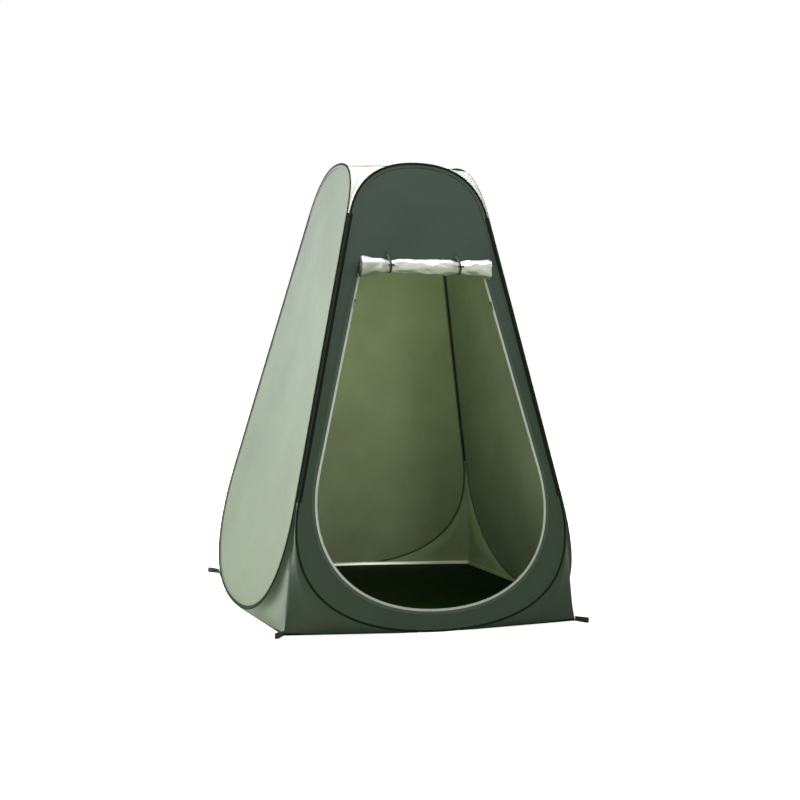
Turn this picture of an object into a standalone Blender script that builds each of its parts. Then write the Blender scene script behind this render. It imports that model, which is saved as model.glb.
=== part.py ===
"""Pop-up privacy tent, standing open with its door rolled up.

Four leaf-shaped spring hoops stand in a square and lean together. Each hoop is a closed spring
wire in a sewn sleeve that carries a wall. Neighbouring sleeves are sewn to each other along the
straight middle of their edges, and that seam is the hinge on which the tent folds flat. Creased
gussets close the corners below and above the seams. The front wall has the doorway.

World frame: +Z up, the front wall faces -Y, the origin is on the ground under the middle.
Wall frame: x across the wall, u up its slope, n outwards, with n = 0 on the plane through its
two hinge lines. All sizes are in metres.
"""

import math

import bmesh
import bpy
from mathutils import Matrix, Vector

# Overall form
HEIGHT = 1.88
FOOT_OFFSET = 0.68
LEAN = math.radians(12.8)
HEM_HALF_WIDTH = 0.622

# Outline of a hoop: straight between the splits, and a curve with two handles at each end
LOWER_SPLIT = 0.53
ARCH_RISE = 0.222
FOOT_SIDE_HANDLE = 0.36
FOOT_BOTTOM_HANDLE = 0.42
ARCH_SIDE_HANDLE = 0.15
ARCH_TOP_HANDLE = 0.17
FOOT_STEPS = 10
ARCH_STEPS = 8

# Clearances
CLEAR = 0.0003
FOLD_CLEAR = 0.00015

# Spring hoop and its sleeve
WIRE_RADIUS = 0.0025
WIRE_SIDES = 8
FERRULE_WALL = 0.0006
FERRULE_LENGTH = 0.040
FERRULE_HEIGHT = 1.10
FERRULE_SIDES = 10
WIRE_END_GAP = 0.002
TAPE_THICKNESS = 0.001
SLEEVE_LIP = 0.012
OUTER_ARC_POINTS = 11
CHANNEL_ARC_POINTS = 9

# Cloth
CLOTH_THICKNESS = 0.001
CLOTH_IN_SLEEVE = 0.0005

# Doorway in the front wall
DOOR_BOTTOM = 0.079
DOOR_TOP = 1.49
DOOR_TOP_HALF = 0.2675
DOOR_SPLIT = 0.65
DOOR_SPLIT_HALF = 0.4758
DOOR_SIDE_HANDLE = 0.33
DOOR_BOTTOM_HANDLE = 0.384
DOOR_STEPS = 12

# Zip round the doorway
ZIP_TAPE_ON_CLOTH = 0.012
ZIP_TAPE_FREE = 0.008
ZIP_TAPE_THICKNESS = 0.0008
ZIP_TOP_GAP = 0.040
TEETH_WIDTH = 0.004
TEETH_THICKNESS = 0.0026

# Zip slider and its pull tab
SLIDER_BELOW_ZIP_TOP = 0.11
SLIDER_LENGTH = 0.014
SLIDER_PLATE = 0.0015
SLIDER_BACK = 0.0021
SLIDER_LIP = 0.0012
SLIDER_PLAY = 0.0004
BRIDGE_THICKNESS = 0.0016
BRIDGE_FOOT = 0.0055
BRIDGE_TOP = 0.0035
BRIDGE_RISE = 0.0040
BRIDGE_BAR = 0.0012
TAB_LENGTH = 0.030
TAB_WIDTH = 0.007
TAB_THICKNESS = 0.0012
TAB_BAR = 0.0014
TAB_WINDOW = 0.0045
TAB_PLAY = 0.0008
TAB_HANG = math.radians(4.5)

# Rolled door flap
ROLL_HALF_LENGTH = 0.295
ROLL_RADIUS = 0.030
ROLL_TOP = 1.517
ROLL_TURNS = 2.75
ROLL_PITCH = 0.006
ROLL_LAYER = 0.0036
FLAP_HEM_THICKNESS = 0.0012
FLAP_HEM_TOP = 1.530
PINCH_DEPTH = 0.004
PINCH_WIDTH = 0.020
FLARE = 0.011
FLARE_START = 0.20
ROLL_POINTS_PER_TURN = 11

# Ties that hold the roll
TIE_PLACE = 0.150
TIE_WIDTH = 0.015
TIE_THICKNESS = 0.0012
TIE_TOP = 1.565
TIE_PATCH_LOW = 1.542
TIE_INNER_TOP = 1.530
TOGGLE_LENGTH = 0.024
TOGGLE_RADIUS = 0.0045
TOGGLE_WAIST = 0.0033
TOGGLE_SIDES = 12

# Lower and upper gussets
SEAM_TO_GUSSET = 0.003
UPPER_CREASE_SAG = 0.003
GUSSET_THICKNESS = 0.001
GUSSET_GAP = 0.0007
GUSSET_HALF_STEPS = 2

# Roof and floor
ARCH_HALF_WIDTH_AT_ROOF = 0.125
ROOF_SAG = 0.010
ROOF_BORDER = 0.016
ROOF_TAPE_WIDTH = 0.012
ROOF_TAPE_THICKNESS = 0.0012
FLOOR_BOTTOM = 0.0010
FLOOR_THICKNESS = 0.0010
FLOOR_HALF_FLAT = 0.15
UPSTAND_HEIGHT = 0.016
UPSTAND_THICKNESS = 0.002

# Peg loops on the hem corners
PEG_LOOP_LENGTH = 0.062
PEG_LOOP_HALF_WIDTH = 0.0075
PEG_WEBBING_HEIGHT = 0.020
PEG_WEBBING_THICKNESS = 0.0014
PEG_LOOP_LIFT = 0.0008
PEG_NOSE_STEPS = 6

# Sizes that follow from those above
FERRULE_BORE = WIRE_RADIUS + CLEAR
FERRULE_RADIUS = FERRULE_BORE + FERRULE_WALL
CHANNEL_RADIUS = FERRULE_RADIUS + CLEAR
SLEEVE_RADIUS = CHANNEL_RADIUS + TAPE_THICKNESS
EDGE_OFFSET = SLEEVE_RADIUS + FOLD_CLEAR
SEAM_CORD_RADIUS = EDGE_OFFSET * math.sqrt(2) - SLEEVE_RADIUS - CLEAR
LIP_INNER = CLOTH_THICKNESS / 2 + CLEAR
LIP_OUTER = LIP_INNER + TAPE_THICKNESS
CLOTH_INSET = CHANNEL_RADIUS + CLOTH_IN_SLEEVE
SIN_LEAN = math.sin(LEAN)
COS_LEAN = math.cos(LEAN)
EDGE_STRETCH = math.sqrt(1 + SIN_LEAN * SIN_LEAN)
LOWER_GUSSET_TOP = LOWER_SPLIT - SEAM_TO_GUSSET
DOOR_SIDE_SPREAD = (DOOR_SPLIT_HALF - DOOR_TOP_HALF) / (DOOR_TOP - DOOR_SPLIT)
ZIP_TOP = DOOR_TOP - ZIP_TOP_GAP
SLIDER_HEIGHT_ON_WALL = ZIP_TOP - SLIDER_BELOW_ZIP_TOP
HEM_LIFT = FLOOR_BOTTOM + FLOOR_THICKNESS + CLEAR + GUSSET_THICKNESS / 2
PEG_LOOP_GAP = GUSSET_THICKNESS / 2 + CLEAR + FOLD_CLEAR

TURNS = {"front": 0, "right": 1, "back": 2, "left": 3}

CLOTH_GREEN = ((0.13, 0.17, 0.12, 1), 0.75, 0.0)
EDGE_GREEN = ((0.05, 0.08, 0.055, 1), 0.7, 0.0)
SILVER = ((0.75, 0.78, 0.75, 1), 0.45, 0.1)
BLACK_NYLON = ((0.01, 0.02, 0.008, 1), 0.8, 0.0)
ZIP_GREY = ((0.22, 0.27, 0.2, 1), 0.6, 0.0)
SPRING_STEEL = ((0.5, 0.5, 0.5, 1), 0.3, 1.0)
WEBBING = ((0.02, 0.036, 0.022, 1), 0.85, 0.0)


def material(name, finish):
    """A Principled material, made once under its name."""
    found = bpy.data.materials.get(name)
    if found:
        return found
    colour, roughness, metallic = finish
    made = bpy.data.materials.new(name)
    made.use_nodes = True
    shader = made.node_tree.nodes["Principled BSDF"]
    shader.inputs["Base Color"].default_value = colour
    shader.inputs["Roughness"].default_value = roughness
    shader.inputs["Metallic"].default_value = metallic
    made.diffuse_color = colour
    return made


def wall_frame(wall):
    """The matrix that takes a wall's x, u and n to the world."""
    axes = Matrix(((1, 0, 0, 0), (0, SIN_LEAN, -COS_LEAN, 0), (0, COS_LEAN, SIN_LEAN, 0), (0, 0, 0, 1)))
    turn = Matrix.Rotation(math.radians(90 * TURNS[wall]), 4, "Z")
    return turn @ Matrix.Translation((0, -FOOT_OFFSET, 0)) @ axes


def add_object(name, bm, finish_name, finish, frame=None, parent=None, smooth_angle=None):
    """Turns a bmesh into a named object in its frame, under the empty that it moves with."""
    bmesh.ops.remove_doubles(bm, verts=bm.verts, dist=1e-6)
    bmesh.ops.recalc_face_normals(bm, faces=bm.faces)
    mesh = bpy.data.meshes.new(name)
    bm.to_mesh(mesh)
    bm.free()
    if smooth_angle:
        mesh.shade_smooth()
        mesh.set_sharp_from_angle(angle=math.radians(smooth_angle))
    mesh.materials.append(material(finish_name, finish))
    made = bpy.data.objects.new(name, mesh)
    bpy.context.scene.collection.objects.link(made)
    made.matrix_basis = frame or Matrix.Identity(4)
    if parent:
        made.parent = parent
        made.matrix_parent_inverse = Matrix.Translation(parent.location).inverted()
    return made


def add_empty(name, place):
    """An empty on a joint's axis, which the moving pieces are parented to."""
    made = bpy.data.objects.new(name, None)
    made.empty_display_size = 0.05
    made.location = place
    bpy.context.scene.collection.objects.link(made)
    return made


def bezier(start, first, second, end, steps):
    """Points along a cubic curve, without its last one."""
    points = []
    for step in range(steps):
        t = step / steps
        s = 1 - t
        points.append(s**3 * start + 3 * s * s * t * first + 3 * s * t * t * second + t**3 * end)
    return points


def hinge_half_width(u):
    """Half the wall's width between its hinge lines, at a height u on the slope."""
    return FOOT_OFFSET - SIN_LEAN * u


def edge_half_width(u):
    """Half the width between the centres of a hoop's straight edges."""
    return hinge_half_width(u) - EDGE_OFFSET * EDGE_STRETCH


def slope_at(z):
    """Where on the slope a hoop's centre line has a height above the ground."""
    return (z - EDGE_OFFSET * SIN_LEAN) / COS_LEAN


def sleeve_section():
    """The sleeve's section: a channel for the wire and two lips over the cloth's edge.

    The first number points from the hoop's centre line to the cloth, the second outwards.
    """
    points = []
    start = math.asin(LIP_OUTER / SLEEVE_RADIUS)
    step = (2 * math.pi - 2 * start) / (OUTER_ARC_POINTS - 1)
    for index in range(OUTER_ARC_POINTS):
        angle = start + index * step
        points.append((SLEEVE_RADIUS * math.cos(angle), SLEEVE_RADIUS * math.sin(angle)))
    lip_end = SLEEVE_RADIUS + SLEEVE_LIP
    points.append((lip_end, -LIP_OUTER))
    points.append((lip_end, -LIP_INNER))
    start = math.asin(LIP_INNER / CHANNEL_RADIUS)
    step = (2 * math.pi - 2 * start) / (CHANNEL_ARC_POINTS - 1)
    radius = CHANNEL_RADIUS / math.cos(step / 2)
    for index in range(CHANNEL_ARC_POINTS):
        angle = -start - index * step
        points.append((radius * math.cos(angle), radius * math.sin(angle)))
    points.append((lip_end, LIP_INNER))
    points.append((lip_end, LIP_OUTER))
    return points


def lowest_reach():
    """How far the sleeve's section reaches down at the foot of a hoop."""
    return max(-(a * COS_LEAN + b * SIN_LEAN) for a, b in sleeve_section())


FOOT_CENTRE = slope_at(lowest_reach())
ARCH_CENTRE = slope_at(HEIGHT - SLEEVE_RADIUS)
UPPER_SPLIT = ARCH_CENTRE - ARCH_RISE
UPPER_GUSSET_BOTTOM = UPPER_SPLIT + SEAM_TO_GUSSET


def right_half_hoop():
    """The centre line of a hoop's right half, from the foot up to the top of the arch."""
    slant = Vector((-SIN_LEAN, 1)).normalized()
    low = Vector((edge_half_width(LOWER_SPLIT), LOWER_SPLIT))
    high = Vector((edge_half_width(UPPER_SPLIT), UPPER_SPLIT))
    foot = Vector((0, FOOT_CENTRE))
    top = Vector((0, ARCH_CENTRE))
    lower = bezier(foot, foot + Vector((FOOT_BOTTOM_HANDLE, 0)), low - slant * FOOT_SIDE_HANDLE, low, FOOT_STEPS)
    upper = bezier(high, high + slant * ARCH_SIDE_HANDLE, top + Vector((ARCH_TOP_HANDLE, 0)), top, ARCH_STEPS)
    return lower + [low] + upper + [top]


def mirrored(points):
    """The same points on the other side of the wall's middle, in reverse order."""
    return [Vector((-point.x, point.y)) for point in reversed(points)]


def hoop_path():
    """A hoop's closed centre line, which starts at the ferrule on its right edge and goes up."""
    half = right_half_hoop()
    ferrule = Vector((edge_half_width(FERRULE_HEIGHT), FERRULE_HEIGHT))
    above = [point for point in half if point.y > FERRULE_HEIGHT]
    below = [point for point in half if point.y < FERRULE_HEIGHT]
    return [ferrule] + above + mirrored(half)[1:-1] + below


def path_normals(points, closed):
    """Unit normals to the left of a path, lengthened at each bend so that an offset keeps its distance."""
    normals = []
    count = len(points)
    for index in range(count):
        before = points[index - 1] if closed or index else None
        after = points[(index + 1) % count] if closed or index < count - 1 else None
        sides = []
        if before is not None:
            run = (points[index] - before).normalized()
            sides.append(Vector((-run.y, run.x)))
        if after is not None:
            run = (after - points[index]).normalized()
            sides.append(Vector((-run.y, run.x)))
        mean = sum(sides, Vector((0, 0))).normalized()
        normals.append(mean / mean.dot(sides[0]))
    return normals


def offset_path(points, distance, closed=True):
    """A path moved to its left by a distance."""
    return [point + normal * distance for point, normal in zip(points, path_normals(points, closed))]


def loft(rings, closed=False):
    """A closed solid through rings that have as many points each. Unless closed, its ends get a face."""
    bm = bmesh.new()
    made = [[bm.verts.new(point) for point in ring] for ring in rings]
    count = len(made[0])
    pairs = list(zip(made, made[1:]))
    if closed:
        pairs.append((made[-1], made[0]))
    for low, high in pairs:
        for index in range(count):
            following = (index + 1) % count
            bm.faces.new((low[index], low[following], high[following], high[index]))
    if not closed:
        bm.faces.new(made[0])
        bm.faces.new(made[-1])
    return bm


def sweep(path, section, level, closed):
    """A section carried along a path in a wall's plane. Its first number points to the path's left."""
    rings = []
    for point, normal in zip(path, path_normals(path, closed)):
        ring = []
        for a, b in section:
            place = point + normal * a
            ring.append(Vector((place.x, place.y, level + b)))
        rings.append(ring)
    return loft(rings, closed)


def round_section(radius, sides):
    """A regular polygon that lies inside a circle."""
    step = 2 * math.pi / sides
    return [(radius * math.cos(i * step), radius * math.sin(i * step)) for i in range(sides)]


def plate(outlines, low, high):
    """A flat plate between two levels. The first outline is its edge and the others are holes."""
    bm = bmesh.new()
    edges = []
    for outline in outlines:
        made = [bm.verts.new((point[0], point[1], low)) for point in outline]
        for index in range(len(made)):
            edges.append(bm.edges.new((made[index - 1], made[index])))
    bmesh.ops.triangle_fill(bm, use_beauty=True, edges=edges)
    copied = bmesh.ops.extrude_face_region(bm, geom=list(bm.faces))
    raised = [item for item in copied["geom"] if isinstance(item, bmesh.types.BMVert)]
    bmesh.ops.translate(bm, verts=raised, vec=(0, 0, high - low))
    return bm


def prism(outline, frame, low, high):
    """An outline in the first two axes of a frame, extruded along the third between two levels."""
    rings = []
    for level in (low, high):
        rings.append([frame @ Vector((point[0], point[1], level)) for point in outline])
    return loft(rings)


def rod(start, end, radii, sides, bore=None):
    """A turned rod along a line, with a radius at each of its evenly spaced stations, or a tube."""
    axis = (end - start).normalized()
    side = axis.orthogonal().normalized()
    other = axis.cross(side)
    rings = []
    for index, radius in enumerate(radii):
        middle = start.lerp(end, index / (len(radii) - 1))
        ring = []
        for a, b in round_section(radius, sides):
            ring.append(middle + side * a + other * b)
        rings.append(ring)
    if bore is None:
        return loft(rings)
    for middle in (end, start):
        ring = []
        for a, b in round_section(bore / math.cos(math.pi / sides), sides):
            ring.append(middle + side * a + other * b)
        rings.append(ring)
    return loft(rings, closed=True)


def sheet(grid, thickness):
    """A closed sheet of even thickness about a grid of points."""
    rows = len(grid)
    columns = len(grid[0])
    bm = bmesh.new()
    sides = ([], [])
    for row in range(rows):
        for made in sides:
            made.append([])
        for column in range(columns):
            along = grid[min(row + 1, rows - 1)][column] - grid[max(row - 1, 0)][column]
            across = grid[row][min(column + 1, columns - 1)] - grid[row][max(column - 1, 0)]
            normal = along.cross(across).normalized() * (thickness / 2)
            sides[0][row].append(bm.verts.new(grid[row][column] + normal))
            sides[1][row].append(bm.verts.new(grid[row][column] - normal))
    for made in sides:
        for row in range(rows - 1):
            for column in range(columns - 1):
                corners = (made[row][column], made[row][column + 1], made[row + 1][column + 1], made[row + 1][column])
                bm.faces.new(corners)
    rim = [(0, column) for column in range(columns)]
    rim += [(row, columns - 1) for row in range(1, rows)]
    rim += [(rows - 1, column) for column in range(columns - 2, -1, -1)]
    rim += [(row, 0) for row in range(rows - 2, 0, -1)]
    for index in range(len(rim)):
        here = rim[index - 1]
        there = rim[index]
        top = (sides[0][here[0]][here[1]], sides[0][there[0]][there[1]])
        bottom = (sides[1][there[0]][there[1]], sides[1][here[0]][here[1]])
        bm.faces.new(top + bottom)
    return bm


def door_outline():
    """The doorway's edge from the top of its left side, round the bottom, to the top of its right side."""
    slant = Vector((-DOOR_SIDE_SPREAD, 1)).normalized()
    bottom = Vector((0, DOOR_BOTTOM))
    split = Vector((DOOR_SPLIT_HALF, DOOR_SPLIT))
    first = bottom + Vector((DOOR_BOTTOM_HANDLE, 0))
    right = bezier(bottom, first, split - slant * DOOR_SIDE_HANDLE, split, DOOR_STEPS)
    right += [split, Vector((DOOR_TOP_HALF, DOOR_TOP))]
    return mirrored(right)[:-1] + right


def wall_pieces(wall, parent):
    """Wire, ferrule, sleeve and cloth of one wall."""
    frame = wall_frame(wall)
    path = hoop_path()
    sleeve = sweep(path, sleeve_section(), EDGE_OFFSET, closed=True)
    add_object(f"{wall}_sleeve", sleeve, "edge tape", EDGE_GREEN, frame, parent, 30)

    start = path[0]
    run = (path[1] - start).normalized()
    open_path = [start + run * WIRE_END_GAP / 2] + path[1:] + [start - run * WIRE_END_GAP / 2]
    wire = sweep(open_path, round_section(WIRE_RADIUS, WIRE_SIDES), EDGE_OFFSET, closed=False)
    add_object(f"{wall}_hoop_wire", wire, "spring steel", SPRING_STEEL, frame, parent, 50)

    middle = Vector((start.x, start.y, EDGE_OFFSET))
    reach = Vector((run.x, run.y, 0)) * FERRULE_LENGTH / 2
    ferrule = rod(middle - reach, middle + reach, (FERRULE_RADIUS, FERRULE_RADIUS), FERRULE_SIDES, FERRULE_BORE)
    add_object(f"{wall}_hoop_ferrule", ferrule, "spring steel", SPRING_STEEL, frame, parent, 40)

    outlines = [offset_path(path, CLOTH_INSET)]
    if wall == "front":
        outlines.append(door_outline())
    low = EDGE_OFFSET - CLOTH_THICKNESS / 2
    cloth = plate(outlines, low, low + CLOTH_THICKNESS)
    add_object(f"{wall}_wall_cloth", cloth, "wall cloth", CLOTH_GREEN, frame, parent)


def seam_cord(name, wall, side, parent):
    """The round cord sewn into a corner seam. It lies on the hinge line and touches both sleeves."""
    ends = []
    for u in (LOWER_SPLIT, UPPER_SPLIT):
        ends.append(Vector((side * hinge_half_width(u), u, 0)))
    cord = rod(ends[0], ends[1], (SEAM_CORD_RADIUS, SEAM_CORD_RADIUS), 8)
    add_object(name, cord, "edge tape", EDGE_GREEN, wall_frame(wall), parent, 60)


def gusset_edge(low, high):
    """Points beside a hoop's sleeve, on its outer side, between two heights on the slope."""
    half = right_half_hoop()
    full = mirrored(half)[:-1] + half
    beside = offset_path(full, -(SLEEVE_RADIUS + GUSSET_GAP), closed=False)
    right = beside[len(half) - 1 :]
    inside = [point for point in right if low < point.y < high]
    return [at_height(right, low)] + inside + [at_height(right, high)]


def at_height(points, u):
    """The point of a rising line of points at a height."""
    for below, above in zip(points, points[1:]):
        if below.y <= u <= above.y:
            return below.lerp(above, (u - below.y) / (above.y - below.y))
    return points[-1]


def crease_half_width(z):
    """Where a lower gusset's crease stands, from the lower end of the seam out to the hem's corner."""
    seam_end = LOWER_SPLIT * COS_LEAN
    seam_half = hinge_half_width(LOWER_SPLIT) + EDGE_OFFSET / 2
    share = min(1, (seam_end - z) / (seam_end - HEM_LIFT))
    return seam_half * (1 - share) + HEM_HALF_WIDTH * share


def gusset_grid(edge, crease, first_wall, second_wall):
    """Rows of points from one wall's sleeve over the crease to the next wall's sleeve."""
    first_frame = wall_frame(first_wall)
    second_frame = wall_frame(second_wall)
    rows = []
    for point in edge:
        start = first_frame @ Vector((point.x, point.y, EDGE_OFFSET))
        end = second_frame @ Vector((-point.x, point.y, EDGE_OFFSET))
        middle = crease(start, end)
        row = [start.lerp(middle, step / GUSSET_HALF_STEPS) for step in range(GUSSET_HALF_STEPS)]
        row += [middle.lerp(end, step / GUSSET_HALF_STEPS) for step in range(GUSSET_HALF_STEPS + 1)]
        rows.append(row)
    return rows


def lower_crease(start, end):
    """The point on the lower crease at the height of a row."""
    corner = Vector((start.x + end.x, start.y + end.y, 0))
    reach = crease_half_width(start.z)
    return Vector((math.copysign(reach, corner.x), math.copysign(reach, corner.y), start.z))


def upper_crease(start, end):
    """The point on the upper crease: a little inside the straight line between the two arches."""
    middle = (start + end) / 2
    inwards = Vector((-middle.x, -middle.y, 0)).normalized()
    seam_end = UPPER_GUSSET_BOTTOM * COS_LEAN
    rise = (start.z - seam_end) / (ROOF_LEVEL - seam_end)
    return middle + inwards * UPPER_CREASE_SAG * math.sin(math.pi * min(1, max(0, rise)) / 2)


def gusset(name, grid, finish_name, finish, parent):
    add_object(name, sheet(grid, GUSSET_THICKNESS), finish_name, finish, None, parent, 20)


def halves_of(grid):
    """A gusset's two halves, with a narrow gap between them at the crease."""
    middle = GUSSET_HALF_STEPS
    back = GUSSET_THICKNESS / 2 + CLEAR
    first = []
    second = []
    for row in grid:
        before = row[middle] + (row[middle - 1] - row[middle]).normalized() * back
        after = row[middle] + (row[middle + 1] - row[middle]).normalized() * back
        first.append(row[:middle] + [before])
        second.append([after] + row[middle + 1 :])
    return first, second


def roof_level():
    """The height at which an arch is as wide as stated."""
    half = right_half_hoop()
    for below, above in zip(half, half[1:]):
        if below.y > UPPER_SPLIT and above.x <= ARCH_HALF_WIDTH_AT_ROOF <= below.x:
            share = (below.x - ARCH_HALF_WIDTH_AT_ROOF) / (below.x - above.x)
            return below.lerp(above, share).y * COS_LEAN + EDGE_OFFSET * SIN_LEAN
    return HEIGHT


ROOF_LEVEL = roof_level()


def quarter_turns(points):
    """The same points round all four sides."""
    placed = []
    for turn in range(4):
        rotation = Matrix.Rotation(math.radians(90 * turn), 2)
        placed += [rotation @ Vector(point) for point in points]
    return placed


def roof_outline(inset):
    """The roof's edge: a flat side along each arch, and a slanted side over the top of each gusset."""
    top_of_tape = ROOF_LEVEL + CLOTH_THICKNESS + CLEAR + ROOF_TAPE_THICKNESS
    reach = FOOT_OFFSET - top_of_tape * math.tan(LEAN) - CLEAR
    top = gusset_edge(UPPER_GUSSET_BOTTOM, slope_at(ROOF_LEVEL))[-1]
    gusset_start = wall_frame("front") @ Vector((top.x, top.y, EDGE_OFFSET))
    flat = gusset_start.x - gusset_start.y - reach - inset * math.tan(math.radians(22.5))
    return quarter_turns([(-flat, inset - reach), (flat, inset - reach)])


def roof_pieces():
    """The roof cloth, which sags a little inside its flat border, and the tape on the border."""
    outlines = [roof_outline(0), roof_outline(ROOF_BORDER)]
    outlines += [[point * share for point in outlines[1]] for share in (0.66, 0.33)]
    drops = (0, 0, ROOF_SAG * 0.6, ROOF_SAG * 0.9)
    bm = bmesh.new()
    sides = []
    for level in (ROOF_LEVEL, ROOF_LEVEL + CLOTH_THICKNESS):
        rings = []
        for outline, drop in zip(outlines, drops):
            rings.append([bm.verts.new((point.x, point.y, level - drop)) for point in outline])
        middle = bm.verts.new((0, 0, level - ROOF_SAG))
        sides.append(rings)
        for outer, inner in zip(rings, rings[1:]):
            for index in range(len(outer)):
                bm.faces.new((outer[index - 1], outer[index], inner[index], inner[index - 1]))
        for index in range(len(rings[-1])):
            bm.faces.new((rings[-1][index - 1], rings[-1][index], middle))
    low, high = sides[0][0], sides[1][0]
    for index in range(len(low)):
        bm.faces.new((low[index - 1], low[index], high[index], high[index - 1]))
    add_object("roof_cloth", bm, "silver cloth", SILVER)

    low = ROOF_LEVEL + CLOTH_THICKNESS + CLEAR
    tape = plate([roof_outline(0), roof_outline(ROOF_TAPE_WIDTH)], low, low + ROOF_TAPE_THICKNESS)
    add_object("roof_edge_tape", tape, "edge tape", EDGE_GREEN)


def foot_height(x):
    """How high on the slope a hoop's centre line is at a distance from its middle, near the foot."""
    half = right_half_hoop()
    for inner, outer in zip(half, half[1:]):
        if inner.x <= x <= outer.x:
            return inner.lerp(outer, (x - inner.x) / (outer.x - inner.x)).y
    return LOWER_SPLIT


def ground_outline(half_flat, reach, corner):
    """An outline on the ground: a flat side inside the foot of each hoop, and out to the hem's corners."""
    return quarter_turns([(-half_flat, -reach), (half_flat, -reach), (corner, -corner)])


def floor_pieces():
    """The groundsheet, and the low upstand on it, just inside the hem."""
    top = FLOOR_BOTTOM + FLOOR_THICKNESS
    reach = FOOT_OFFSET - CLEAR
    outline = ground_outline(FLOOR_HALF_FLAT, reach, HEM_HALF_WIDTH)
    add_object("groundsheet", plate([outline], FLOOR_BOTTOM, top), "groundsheet", BLACK_NYLON)
    low = top + CLEAR
    high = low + UPSTAND_HEIGHT
    half_flat = gusset_edge(slope_at(HEM_LIFT), LOWER_GUSSET_TOP)[0].x
    reach -= foot_height(half_flat) * SIN_LEAN - EDGE_OFFSET * COS_LEAN + SLEEVE_RADIUS
    corner = crease_half_width(high) - GUSSET_THICKNESS - CLEAR
    outer = ground_outline(half_flat, reach, corner)
    inner = ground_outline(half_flat, reach - UPSTAND_THICKNESS, corner - UPSTAND_THICKNESS)
    add_object("groundsheet_upstand", plate([outer, inner], low, high), "bound edge", CLOTH_GREEN)


def zip_pieces():
    """The zip's tape and its row of teeth round the doorway, without the stretch behind the roll."""
    outline = door_outline()
    ends = []
    for line in (outline[:2][::-1], outline[-2:]):
        ends.append(line[0].lerp(line[1], (ZIP_TOP - line[0].y) / (line[1].y - line[0].y)))
    path = [ends[0]] + outline[1:-1] + [ends[1]]
    face = EDGE_OFFSET + CLOTH_THICKNESS / 2 + CLEAR
    middle = face + ZIP_TAPE_THICKNESS / 2
    half = ZIP_TAPE_THICKNESS / 2
    tape_section = [(-ZIP_TAPE_ON_CLOTH, -half), (ZIP_TAPE_FREE, -half), (ZIP_TAPE_FREE, half), (-ZIP_TAPE_ON_CLOTH, half)]
    frame = wall_frame("front")
    add_object("zip_tape", sweep(path, tape_section, middle, closed=False), "zip tape", ZIP_GREY, frame)
    near = ZIP_TAPE_FREE + CLEAR
    far = near + TEETH_WIDTH
    half = TEETH_THICKNESS / 2
    bevel = TEETH_THICKNESS / 4
    teeth_section = [
        (near, -half + bevel), (near + bevel, -half), (far - bevel, -half), (far, -half + bevel),
        (far, half - bevel), (far - bevel, half), (near + bevel, half), (near, half - bevel),
    ]
    add_object("zip_teeth", sweep(path, teeth_section, middle, closed=False), "zip tape", ZIP_GREY, frame, None, 50)


def slider_frame(side):
    """The frame of a zip slider: t up along the teeth, w to the middle of the doorway, n outwards."""
    half = DOOR_TOP_HALF + DOOR_SIDE_SPREAD * (DOOR_TOP - SLIDER_HEIGHT_ON_WALL)
    run = Vector((-side * DOOR_SIDE_SPREAD, 1, 0)).normalized()
    inwards = Vector((-side * run.y, side * run.x, 0))
    teeth = ZIP_TAPE_FREE + CLEAR + TEETH_WIDTH / 2
    level = EDGE_OFFSET + CLOTH_THICKNESS / 2 + CLEAR + ZIP_TAPE_THICKNESS / 2
    place = Vector((side * half, SLIDER_HEIGHT_ON_WALL, level)) + inwards * teeth
    outwards = Vector((0, 0, 1))
    axes = Matrix((run, inwards, outwards)).transposed().to_4x4()
    return wall_frame("front") @ Matrix.Translation(place) @ axes


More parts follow.
